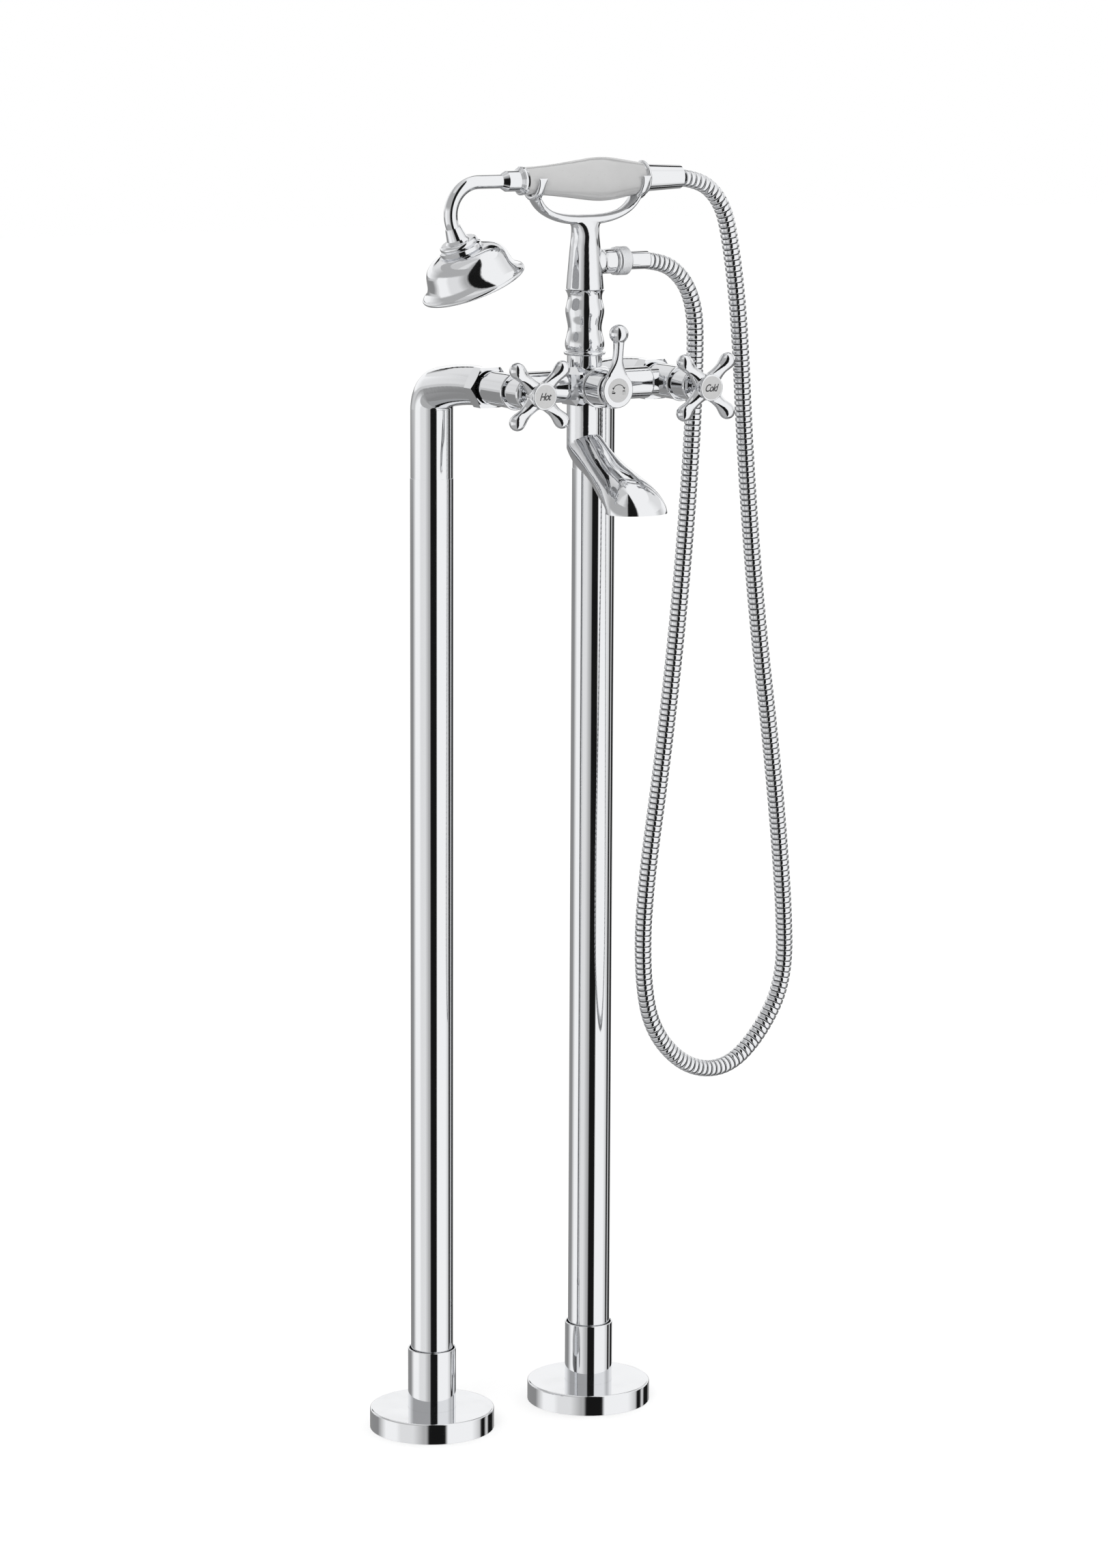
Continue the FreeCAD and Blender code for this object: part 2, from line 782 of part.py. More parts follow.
# ---------------------------------------------------------------- riser and cradle
def riser_column():
    """Baluster: a bead, two swellings with waists between, and a flared rim."""
    foot = valve_height + bead_rise
    start = foot + 2 * riser_bead
    rise = riser_top - start
    curve = [
        (riser_foot_od / 2, start),
        (riser_belly_od / 2, start + rise * 0.065),
        (riser_waist_od / 2, start + rise * 0.36),
        (riser_shoulder_od / 2, start + rise * 0.68),
        (riser_neck_od / 2, start + rise * 0.90),
        (riser_rim_od / 2, riser_top),
    ]
    bore = riser_bore / 2
    outline = smooth_lathe(curve, [(bore, riser_top), (bore, start)])
    ring = neck_od / 2 + riser_step
    collar = lathe(
        (bore, foot),
        (ring, foot),
        ((ring + riser_bead, foot + riser_bead), (ring, start)),
        (bore, start),
    )
    column = outline.fuse(collar)
    pipe_id = riser_bore - 2 * riser_pipe_wall
    column = column.fuse(tube(spigot_od, pipe_id, foot - spigot_reach, foot + rise / 4))
    column = column.cut(rod(spigot_od + 2 * fit, riser_top - spigot_reach, riser_top))
    return place(column.removeSplitter(), Vec(0, -body_reach, 0), UP)


fork_base = fork_top - fork_thickness


def fork_bar():
    """Boat-shaped strap from saddle to saddle, drawn in the XZ plane and as deep as the fork."""
    reach = saddle_x + saddle_width / 2
    horn = handset_height - grip_left_od / 2
    inside = [
        Vec(0, 0, fork_top),
        Vec(reach * 0.32, 0, fork_top + 0.6),
        Vec(reach * 0.68, 0, fork_top + 3.9),
        Vec(reach * 0.83, 0, fork_top + 9.4),
        Vec(reach * 0.88, 0, horn),
    ]
    outside = [
        Vec(reach, 0, horn),
        Vec(reach * 0.96, 0, fork_base + 14.4),
        Vec(reach * 0.74, 0, fork_base + 7.4),
        Vec(reach * 0.42, 0, fork_base + 2.4),
        Vec(reach * 0.20, 0, fork_base),
    ]
    middle = Vec(0, 0, fork_base)
    wire = Part.Wire([
        spline(inside),
        Part.LineSegment(inside[-1], outside[0]).toShape(),
        spline(outside),
        Part.LineSegment(outside[-1], middle).toShape(),
        Part.LineSegment(middle, inside[0]).toShape(),
    ])
    half = Part.Face(wire).extrude(Vec(0, fork_depth, 0))
    half.translate(Vec(0, -body_reach - fork_depth / 2, 0))
    other = half.mirror(Vec(0, 0, 0), RIGHT)
    return half.fuse(other)


def saddle_hollow(side):
    """U-shaped space for the porcelain in one saddle, open at the top."""
    inner_edge = side * (saddle_x - saddle_width / 2)
    bore = grip_radius(inner_edge) + saddle_gap
    back = side * saddle_x - saddle_width
    length = 2 * saddle_width
    centre = Vec(back, -body_reach, handset_height)
    trough = Part.makeCylinder(bore, length, centre, RIGHT)
    above = Part.makeBox(length, 2 * bore, 2 * bore, centre - Vec(0, bore, 0))
    return trough.fuse(above), bore


def saddle(side):
    """Crescent that holds the hand shower: thick at the bottom, thin at its two horns."""
    hollow, bore = saddle_hollow(side)
    back = side * saddle_x - saddle_width / 2
    outer = bore + saddle_wall
    lower = Vec(back, -body_reach, handset_height - saddle_drop)
    disc = Part.makeCylinder(outer, saddle_width, lower, RIGHT)
    corner = Vec(back, -body_reach - 2 * outer, handset_height + horn_rise)
    above = Part.makeBox(saddle_width, 4 * outer, 2 * outer, corner)
    return disc.cut([hollow, above])


def cradle():
    """Tapered stem with the hose outlet on its cold side and a fork with two saddles."""
    wide = cradle_stem_od / 2
    slim = cradle_stem_top_od / 2
    overlap = fork_thickness / 2
    stem = Part.makeCone(wide, slim, fork_base - riser_top, Vec(0, 0, riser_top))
    stem = stem.fuse(rod(2 * slim, fork_base, fork_base + overlap))
    stem = stem.fuse(rod(spigot_od, riser_top - spigot_reach, riser_top))
    stem = place(stem, Vec(0, -body_reach, 0), UP)
    height = Vec(0, -body_reach, outlet_height)
    outlet = place(rod(outlet_od, 0, outlet_end), height, RIGHT)
    thread = place(rod(outlet_thread_od, 0, outlet_end + outlet_thread_length), height, RIGHT)
    form = stem.fuse([outlet, thread, fork_bar(), saddle(-1), saddle(1)])
    cradle_bore = rod(outlet_bore, riser_top - spigot_reach, outlet_height)
    cross_bore = rod(outlet_bore, 0, outlet_end + outlet_thread_length)
    form = form.cut(place(cradle_bore, Vec(0, -body_reach, 0), UP))
    form = form.cut(place(cross_bore, height, RIGHT))
    hollows = [saddle_hollow(side)[0] for side in (-1, 1)]
    return form.cut(hollows).removeSplitter()


# ---------------------------------------------------------------- hand shower
def on_grip(shape):
    """Lays a shape drawn along +Z to run along +X on the hand shower's axis."""
    return place(shape, Vec(0, -body_reach, handset_height), RIGHT)


def grip_profile():
    """Outline of the porcelain as a curve of (radius, distance along the axis)."""
    length = grip_right - grip_left
    left = grip_left_od / 2
    widest = grip_max_od / 2
    return [
        (left, grip_left),
        (left + 0.9, grip_left + length * 0.16),
        (widest - 1.9, (grip_left + grip_max_x) / 2 + length * 0.13),
        (widest, grip_max_x),
        (widest - 2.1, grip_max_x + length * 0.18),
        (grip_right_od / 2, grip_right),
    ]


def grip_radius(x):
    """Radius of the porcelain at a distance along its axis."""
    curve = spline([Vec(r, 0, h) for r, h in grip_profile()])
    ray = Part.LineSegment(Vec(0, 0, x), Vec(grip_max_od, 0, x)).toShape()
    return curve.distToShape(ray)[1][0][0].x


def grip():
    """Porcelain grip, a smooth swelling bored for the tube."""
    bore = inner_tube_od / 2 + 3 * fit
    return on_grip(smooth_lathe(grip_profile(), [(bore, grip_right), (bore, grip_left)]))


def inner_tube():
    """Brass tube that carries the water and holds arm, grip and collars together."""
    low = sleeve_end + sleeve_taper
    inner = inner_tube_od - 2 * inner_tube_wall
    return on_grip(tube(inner_tube_od, inner, low, rear_collar_end + hand_thread_length))


def front_collar():
    """Beaded ring between the arm's sleeve and the porcelain."""
    bore = inner_tube_od / 2 + fit
    radius = front_collar_od / 2
    edge = 1.0
    lip = 0.4
    low = front_collar_end
    return on_grip(lathe(
        (bore, low),
        (radius - edge, low),
        (radius, low + edge),
        (radius, grip_left - 2 * edge),
        (radius - edge, grip_left - edge),
        (radius - lip, grip_left),
        (bore, grip_left),
    ))


def rear_collar():
    """Rounded ring behind the porcelain, with the male thread for the hose's nut."""
    bore = inner_tube_od / 2 + fit
    radius = rear_collar_od / 2
    end = rear_collar_end
    rise = 1.4
    nose = cone_nut_back_od / 2
    thread = hand_thread_od / 2
    return on_grip(lathe(
        (bore, grip_right),
        (grip_right_od / 2 - rise, grip_right),
        (radius - rise, grip_right + rise),
        ((radius, (grip_right + end) / 2), (radius - rise, end - rise)),
        (nose, end),
        (thread, end),
        (thread, end + hand_thread_length),
        (bore, end + hand_thread_length),
    ))


def arm_path():
    """Centre line of the hand shower's arm, from its sleeve over and down to the rose."""
    turn = math.radians(90 + rose_tilt)
    start = Vec(sleeve_end, -body_reach, handset_height)
    begin = Vec(arm_bend_x, -body_reach, handset_height)
    pivot = begin - Vec(0, 0, arm_bend)

    def on_bend(angle):
        return pivot + Vec(-arm_bend * math.sin(angle), 0, arm_bend * math.cos(angle))

    end = on_bend(turn)
    straight = Part.LineSegment(start, begin).toShape()
    bend = Part.Arc(begin, on_bend(turn / 2), end).toShape()
    return Part.Wire([straight, bend]), end


def rose_axis():
    lean = math.radians(rose_tilt)
    return Vec(math.sin(lean), 0, -math.cos(lean))


def arm():
    """Gooseneck arm with the stouter sleeve that joins the grip."""
    path, end = arm_path()
    start = Vec(sleeve_end, -body_reach, handset_height)
    outer = swept_rod(path, arm_od, start, LEFT)
    inner = swept_rod(path, arm_od - 2 * arm_wall, start, LEFT)
    radius = arm_sleeve_od / 2
    flare = 1.6
    sleeve = on_grip(lathe(
        (0, sleeve_end),
        (arm_od / 2, sleeve_end),
        (radius, sleeve_end + sleeve_taper),
        (radius, front_collar_end - flare),
        (radius + flare, front_collar_end),
        (0, front_collar_end),
    ))
    form = outer.fuse(sleeve)
    step = sleeve_end + sleeve_taper
    seat = rod(inner_tube_od + 2 * fit, step, front_collar_end)
    passage = rod(arm_od - 2 * arm_wall, sleeve_end, step)
    return form.cut([inner, on_grip(seat), on_grip(passage)]).removeSplitter()


def on_rose(shape):
    path, end = arm_path()
    return place(shape, end, rose_axis())


bell_start = rose_neck_length + button_length


def rose_neck():
    """Cone nut on the arm's end, then a stepped button on the crown of the bell."""
    bore = arm_od / 2 - arm_wall
    button = button_od / 2
    flange = button_flange_od / 2
    neck = rose_neck_length
    bead = 2.0
    edge = 0.9
    return on_rose(lathe(
        (bore, 0),
        (arm_od / 2 + edge, 0),
        (rose_neck_wide / 2, neck - bead),
        (rose_neck_rim_od / 2, neck),
        (button - bead, neck),
        ((button, neck + bead), (button - edge / 2, neck + 2 * bead)),
        (flange, neck + 2 * bead + edge),
        (flange, bell_start - edge),
        (flange - edge, bell_start),
        (bore, bell_start),
    ))


def rose_bell():
    """Bell of the rose: rounded crown, nearly straight flank, flared and rounded lip."""
    rim = rose_rim_od / 2
    length = rose_length - bell_start
    top = bell_start
    lip = rose_wall
    outer = [
        (button_flange_od / 2, top),
        (rim * 0.61, top + length * 0.07),
        (rim * 0.77, top + length * 0.30),
        (rim * 0.825, top + length * 0.62),
        (rim - lip, top + length * 0.90),
    ]
    pocket = spray_plate_od / 2 + fit
    ledge = rose_length - plate_recess - plate_depth
    inner = [(spray_plate_od / 2 - plate_ledge, ledge)]
    inner += [(r - rose_wall, h + rose_wall * 0.7) for r, h in reversed(outer[:-1])]
    corner = (rim - lip, rose_length)
    turned_rim = [corner, (pocket, rose_length), (pocket, ledge), inner[0]]
    steps = []
    for a, b in zip(turned_rim, turned_rim[1:]):
        steps.append(Part.LineSegment(Vec(a[0], 0, a[1]), Vec(b[0], 0, b[1])).toShape())
    outline = Part.Wire([
        spline([Vec(r, 0, h) for r, h in outer]),
        Part.Arc(
            Vec(outer[-1][0], 0, outer[-1][1]),
            Vec(rim, 0, rose_length - lip),
            Vec(corner[0], 0, corner[1]),
        ).toShape(),
        *steps,
        spline([Vec(r, 0, h) for r, h in inner]),
        Part.LineSegment(
            Vec(inner[-1][0], 0, inner[-1][1]),
            Vec(outer[0][0], 0, outer[0][1]),
        ).toShape(),
    ])
    bell = Part.Face(outline).revolve(Vec(0, 0, 0), UP, 360)
    crown = tube(button_flange_od, arm_od - 2 * arm_wall, top, top + rose_wall)
    return on_rose(bell.fuse(crown).removeSplitter())


def spray_plate():
    """Perforated plate inside the rim, with rings of spray holes."""
    radius = spray_plate_od / 2
    front = rose_length - plate_recess
    back = front - plate_depth
    plate = lathe(
        (0, back),
        (radius, back),
        (radius, front - plate_edge),
        (radius - plate_edge, front),
        (0, front),
    )
    holes = []
    for ring in range(1, nozzle_rings + 1):
        pitch = (radius - nozzle_margin) * ring / nozzle_rings
        count = nozzles_per_ring * ring
        for step in range(count):
            angle = 2 * math.pi * step / count
            hole = rod(nozzle_od, back, front)
            hole.translate(Vec(pitch * math.cos(angle), pitch * math.sin(angle), 0))
            holes.append(hole)
    return on_rose(plate.cut(holes))


# ---------------------------------------------------------------- spout
def spout_form(shrink):
    """Outer form of the spout, or with shrink its hollow: a slant that spreads to the mouth."""
    drop = mitre_height - mouth_height
    neck = spout_neck_od - 2 * shrink
    wide = spout_mouth_x - 2 * shrink
    deep = spout_mouth_y - 2 * shrink
    half_turn = mitre_turn / 2
    stations = [
        (0.0, 0.0, neck, neck / math.cos(math.radians(half_turn)), half_turn),
        (0.30, 0.31, neck + 0.10 * (wide - neck), neck, mitre_turn),
        (0.60, 0.56, neck + 0.42 * (wide - neck), neck + 0.2 * (deep - neck), mitre_turn - 6),
        (0.84, 0.74, neck + 0.78 * (wide - neck), neck + 0.7 * (deep - neck), mitre_turn - 28),
        (0.97, 0.90, neck + 0.97 * (wide - neck), neck + 0.97 * (deep - neck), 8.0),
        (1.0, 1.0, wide, deep, 0.0),
    ]
    wires = []
    for forward, down, width, depth, turn in stations:
        centre = Vec(0, -body_reach - spout_reach * forward, mitre_height - drop * down)
        wires.append(oval(centre, width, depth, turn))
    return Part.makeLoft(wires, True)


def mitred_neck(diameter):
    """Upright neck of the spout, from the seam down to its slanting foot on the mitre."""
    half_turn = mitre_turn / 2
    stretched = diameter / math.cos(math.radians(half_turn))
    top = Vec(0, -body_reach, valve_height - seam_drop)
    foot = Vec(0, -body_reach, mitre_height)
    wires = [oval(foot, diameter, stretched, half_turn), oval(top, diameter, diameter)]
    return Part.makeLoft(wires, True, True)


def spout():
    """Hollow spout: neck, mitre, spreading slant and a mouth with a small lip."""
    seam = valve_height - seam_drop
    mouth = Vec(0, -body_reach - spout_reach, mouth_height)
    proud = 2 * lip_proud
    lip = Part.makeLoft(
        [
            oval(mouth, spout_mouth_x + proud, spout_mouth_y + proud),
            oval(mouth + Vec(0, 0, lip_height), spout_mouth_x - proud, spout_mouth_y - proud),
        ],
        True,
    )
    outer = spout_form(0).fuse([mitred_neck(spout_neck_od), lip])
    hollow = spout_form(spout_wall).fuse(mitred_neck(spout_neck_od - 2 * spout_wall))
    outer = outer.cut(hollow)
    roof = rod(spout_neck_od - spout_wall, seam - spout_wall, seam)
    spigot = rod(spigot_od, seam, seam + spigot_reach)
    passage = rod(union_bore, seam - spout_wall, seam + spigot_reach)
    plug = place(roof.fuse(spigot).cut(passage), Vec(0, -body_reach, 0), UP)
    return outer.fuse(plug)


# ---------------------------------------------------------------- hose
def route_edges(points):
    """Straight runs joined by tangent arcs, each as large as its two runs allow."""
    edges = []
    radii = []
    here = points[0]
    for before, corner, after in zip(points, points[1:], points[2:]):
        incoming = corner - before
        outgoing = after - corner
        turn = incoming.getAngle(outgoing)
        reach = 0.45 * min(incoming.Length, outgoing.Length)
        radius = reach / math.tan(turn / 2)
        radii.append(radius)
        start = corner - incoming.normalize() * reach
        end = corner + outgoing.normalize() * reach
        inward = (start + end) / 2 - corner
        depth = radius / math.cos(turn / 2) - radius
        middle = corner + inward.normalize() * depth
        edges.append(Part.LineSegment(here, start).toShape())
        edges.append(Part.Arc(start, middle, end).toShape())
        here = end
    edges.append(Part.LineSegment(here, points[-1]).toShape())
    return edges, radii


def station(edges, distance):
    """Point and direction at a distance along a chain of edges."""
    for edge in edges:
        if distance <= edge.Length or edge is edges[-1]:
            parameter = edge.getParameterByLength(min(distance, edge.Length))
            return edge.valueAt(parameter), edge.tangentAt(parameter)
        distance -= edge.Length


def ring_at(edges, distance, diameter):
    """Circle round the route, square to it, its X axis always across the route's plane."""
    point, direction = station(edges, distance)
    across = Vec(0, 1, 0)
    up = direction.cross(across)
    circle = Part.Circle(Vec(0, 0, 0), UP, diameter / 2).toShape()
    circle.Placement = FreeCAD.Placement(point, FreeCAD.Rotation(across, up, direction, "ZXY"))
    return Part.Wire(circle)


def hose():
    """Ribbed metal hose: plain ends for the ferrules, ribs between, and its bore."""
    points = [Vec(x, -body_reach, outlet_height - drop) for x, drop in outlet_side]
    points += [Vec(x, -body_reach, handset_height - drop) for x, drop in handset_side]
    edges, radii = route_edges(points)
    length = sum(edge.Length for edge in edges)
    print("hose length", round(length, 1), "radii", [round(r, 1) for r in radii])
    first = ferrule_end - hose_start
    last = length - (cone_nut_end - hose_finish) - cone_nut_gap
    pitch = (last - first) / hose_ribs
    rings = [ring_at(edges, 0, hose_end_od), ring_at(edges, first, hose_end_od)]
    groove = hose_od - 2 * hose_groove
    for rib in range(hose_ribs):
        start = first + rib * pitch
        for share, diameter in ((0.08, groove), (0.24, hose_od), (0.84, hose_od), (1.0, groove)):
            rings.append(ring_at(edges, start + share * pitch, diameter))
    rings.append(ring_at(edges, last + 0.05 * pitch, hose_end_od))
    rings.append(ring_at(edges, length, hose_end_od))
    ribs = Part.makeLoft(rings, True, True)
    bore = swept_rod(Part.Wire(edges), hose_bore_od, points[0], RIGHT)
    body = ribs.cut(bore)
    section = math.pi / 4 * (hose_od ** 2 - hose_bore_od ** 2)
    print("hose volume", round(body.Volume), "full section times length", round(section * length))
    return body


def on_outlet(shape):
    """Lays a shape drawn along +Z to run along +X on the axis of the hose outlet."""
    return place(shape, Vec(0, -body_reach, outlet_height), RIGHT)


outlet_tip = outlet_end + outlet_thread_length
flange_back = outlet_tip + washer_thickness
nut_throat = outlet_end + nut_length - nut_wall


def ferrule():
    """Tailpiece crimped over the hose's plain end, with a flange inside the knurled nut."""
    tail = ferrule_od / 2
    flange = ferrule_flange_od / 2
    bore = hose_bore_od / 2
    socket = hose_end_od / 2
    return on_outlet(lathe(
        (bore, flange_back),
        (flange, flange_back),
        (flange, nut_throat - fit),
        (tail, nut_throat - fit),
        (tail, ferrule_end),
        (socket, ferrule_end),
        (socket, hose_start),
        (bore, hose_start),
    ))


def hose_nut():
    """Knurled nut on the outlet's thread, with a bead behind the knurling."""
    radius = nut_od / 2
    thread = outlet_thread_od / 2 + fit
    throat = ferrule_od / 2 + 2 * fit
    back = outlet_end
    front = outlet_end + nut_length
    bead = 2.6
    chamfer = 2.4
    return on_outlet(lathe(
        (thread, back),
        (radius - 1.2, back),
        (radius - 0.3, back + 0.8),
        (radius - 0.3, back + bead - 0.6),
        (radius - 0.8, back + bead),
        (radius, back + bead + 0.6),
        (radius, front - chamfer),
        (radius - chamfer, front),
        (throat, front),
        (throat, nut_throat),
        (thread, nut_throat),
    ))


def hose_washer():
    """Rubber washer squeezed between the outlet and the ferrule."""
    return on_outlet(tube(ferrule_flange_od, hose_bore_od, outlet_tip, flange_back))


hand_tip = rear_collar_end + hand_thread_length


def cone_nut():
    """Conical nut on the hand shower's thread that holds the end of the hose."""
    thread = hand_thread_od / 2 + fit
    socket = hose_end_od / 2 + soft_gap
    return on_grip(lathe(
        (thread, rear_collar_end),
        (cone_nut_back_od / 2, rear_collar_end),
        (cone_nut_front_od / 2, cone_nut_end),
        (socket, cone_nut_end),
        (socket, hose_finish),
        (thread, hose_finish),
    ))


def hand_washer():
    """Rubber washer between the hand shower's thread and the end of the hose."""
    return on_grip(tube(hand_washer_od, hose_bore_od, hand_tip, hose_finish))


# ---------------------------------------------------------------- pieces
def on_leg(shape, x):
    return place(shape, Vec(x, 0, 0), UP)


def all_pieces():
    """Every piece by name. Pieces that come in a hot and a cold one are made by a loop."""
    pieces = {}
    for side, x in leg_x.items():
        pieces["floor_plate_" + side] = on_leg(floor_plate(), x)
        pieces["floor_flange_" + side] = on_leg(floor_flange(), x)
        pieces["height_collar_" + side] = on_leg(height_collar(), x)
        pieces["standpipe_" + side] = on_leg(standpipe(), x)
        pieces["supply_pipe_" + side] = on_leg(supply_pipe(), x)
        pieces["upper_bend_" + side] = on_leg(upper_bend(), x)
        pieces["union_fitting_" + side] = along_front(union_fitting(), x)
        cartridge_form = cartridge(cartridge_back, cartridge_od, cartridge_length)
        pieces["valve_cartridge_" + side] = along_front(cartridge_form, x)
        pieces["valve_bonnet_" + side] = along_front(bonnet(), x)
        turning = spindle(spindle_back, shoulder, spindle_front)
        pieces["valve_spindle_" + side] = along_front(turning, x)
        pieces["cross_handle_" + side] = cross_handle(x)
        screw = cap_screw(screw_seat, screw_length, screw_head_height)
        pieces["handle_screw_" + side] = along_front(screw, x)
        disc = index_disc(disc_od, disc_floor, disc_thickness)
        pieces["index_disc_" + side] = along_front(disc, x)
    pieces["collar_seals"] = Part.Compound([on_leg(collar_seal(), x) for x in leg_x.values()])
    pieces["mixer_body"] = mixer_body()
    length = diverter_front - bonnet_wall - diverter_back
    body = cartridge(diverter_back, diverter_cartridge_od, length)
    pieces["diverter_cartridge"] = along_front(body, 0)
    pieces["diverter_sleeve"] = along_front(diverter_sleeve(), 0)
    turning = spindle(diverter_back + guide_depth, lever_back, diverter_spindle_front)
    pieces["diverter_spindle"] = along_front(turning, 0)
    pieces["diverter_lever"] = diverter_lever()
    screw = cap_screw(lever_screw_seat, screw_length, lever_screw_head)
    pieces["diverter_screw"] = along_front(screw, 0)
    disc = index_disc(lever_index_od, lever_disc_floor, lever_index_thickness)
    pieces["diverter_index"] = along_front(disc, 0)
    pieces["riser_column"] = riser_column()
    pieces["cradle"] = cradle()
    pieces["spout"] = spout()
    pieces["hose"] = hose()
    pieces["hose_nut"] = hose_nut()
    pieces["hose_ferrule"] = ferrule()
    pieces["hose_washer"] = hose_washer()
    pieces["cone_nut"] = cone_nut()
    pieces["hand_washer"] = hand_washer()
    pieces["grip"] = grip()
    pieces["inner_tube"] = inner_tube()
    pieces["front_collar"] = front_collar()
    pieces["rear_collar"] = rear_collar()
    pieces["shower_arm"] = arm()
    pieces["rose_neck"] = rose_neck()
    pieces["rose_bell"] = rose_bell()
    pieces["spray_plate"] = spray_plate()
    return pieces


def main():
    os.makedirs("parts", exist_ok=True)
    for name, shape in all_pieces().items():
        print(name, round(shape.Volume), len(shape.Solids), shape.isValid())
        shape.exportStep("parts/" + name + ".step")


main()
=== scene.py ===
"""Dressed model of a floor standing bath filler: finishes, ribbed hose, knurled nut and dial marks.

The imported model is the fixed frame. Everything is in metres, with +Z up, +X towards the cold
leg, and the taps, the lever and the spout facing -Y. The origin is on the floor between the legs.
"""
import json
import math

import bpy
import numpy as np
from mathutils import Matrix, Vector


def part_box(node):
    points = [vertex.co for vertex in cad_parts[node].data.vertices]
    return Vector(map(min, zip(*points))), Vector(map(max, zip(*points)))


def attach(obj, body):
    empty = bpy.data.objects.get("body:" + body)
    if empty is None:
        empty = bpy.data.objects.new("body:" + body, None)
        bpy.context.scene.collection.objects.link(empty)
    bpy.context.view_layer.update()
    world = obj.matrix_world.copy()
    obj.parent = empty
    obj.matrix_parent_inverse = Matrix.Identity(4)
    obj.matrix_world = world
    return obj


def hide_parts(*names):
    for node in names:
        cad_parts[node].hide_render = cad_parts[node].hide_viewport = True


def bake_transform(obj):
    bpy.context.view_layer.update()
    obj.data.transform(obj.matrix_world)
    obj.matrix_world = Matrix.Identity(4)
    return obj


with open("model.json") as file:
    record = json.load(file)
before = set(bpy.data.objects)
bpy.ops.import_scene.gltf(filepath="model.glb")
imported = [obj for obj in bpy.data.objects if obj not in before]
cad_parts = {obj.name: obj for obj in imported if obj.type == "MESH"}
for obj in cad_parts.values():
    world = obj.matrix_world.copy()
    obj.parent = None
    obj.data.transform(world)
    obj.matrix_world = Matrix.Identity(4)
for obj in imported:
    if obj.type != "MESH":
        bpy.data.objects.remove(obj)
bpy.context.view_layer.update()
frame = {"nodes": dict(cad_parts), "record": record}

bl_info = {
    "name": "Bath filler",
    "version": (1, 0, 0),
    "blender": (4, 5, 0),
    "location": "3D View > Sidebar > Bath filler",
    "description": "Dresses a floor standing bath filler and its hand shower",
    "category": "Object",
}

MM = 0.001
IMAGE = (1623, 2296)

# Where the body and its axes are, from the part (metres)
CROSSBAR_Y = -0.108
OUTLET_Z = 0.9542
HANDSET_Z = 1.0178
TAP_Z = 0.859
TAP_X = 0.075

# The hose's route in the plane of the crossbar, as (X, Z): the points of the part's own route
HOSE_ROUTE = [
    (0.0410, 0.9542), (0.0677, 0.9542), (0.0903, 0.9396), (0.1013, 0.9151),
    (0.1022, 0.8755), (0.0996, 0.8036), (0.0906, 0.6902), (0.0764, 0.5675),
    (0.0582, 0.4476), (0.0574, 0.3801), (0.0677, 0.3350), (0.1005, 0.3020),
    (0.1393, 0.2972), (0.1711, 0.3235), (0.1944, 0.3650), (0.1929, 0.4296),
    (0.1806, 0.5450), (0.1625, 0.6697), (0.1498, 0.8000), (0.1437, 0.9000),
    (0.1347, 0.9641), (0.1256, 0.9988), (0.1009, 1.0178), (0.0700, 1.0178),
]


# ------------------------------------------------------------------ colours and nodes
def linear(code):
    """An sRGB hex colour as linear red, green, blue and alpha."""
    channels = [int(code[i:i + 2], 16) / 255 for i in (0, 2, 4)]
    return tuple(c / 12.92 if c <= 0.04045 else ((c + 0.055) / 1.055) ** 2.4 for c in channels) + (1.0,)


def add(tree, kind, inputs=None, **settings):
    """Adds one node: settings are its properties, inputs its sockets' values or links."""
    made = tree.nodes.new(kind)
    for key, value in settings.items():
        setattr(made, key, value)
    for key, value in (inputs or {}).items():
        if isinstance(value, bpy.types.NodeSocket):
            tree.links.new(value, made.inputs[key])
        else:
            made.inputs[key].default_value = value
    return made


def new_material(name):
    """An empty node material with its output."""
    material = bpy.data.materials.new(name)
    material.use_nodes = True
    material.node_tree.nodes.clear()
    return material, material.node_tree


def speckle(tree, size_mm, detail=3.0, vector=None):
    """Noise whose features are about size_mm across, on Object coordinates."""
    coordinates = vector or add(tree, "ShaderNodeTexCoord").outputs["Object"]
    return add(tree, "ShaderNodeTexNoise", {
        "Vector": coordinates, "Scale": 1 / (size_mm * MM), "Detail": detail, "Roughness": 0.55,
    }).outputs["Fac"]


def spread(tree, value, low, high):
    """Maps the middle of a noise onto the range from low to high."""
    return add(tree, "ShaderNodeMapRange", {
        "Value": value, "From Min": 0.3, "From Max": 0.7, "To Min": low, "To Max": high,
    }).outputs["Result"]


def relief(tree, height, depth_mm, strength):
    """A bump from a height map, with its depth in millimetres."""
    return add(tree, "ShaderNodeBump", {
        "Height": height, "Distance": depth_mm * MM, "Strength": strength,
    }).outputs["Normal"]


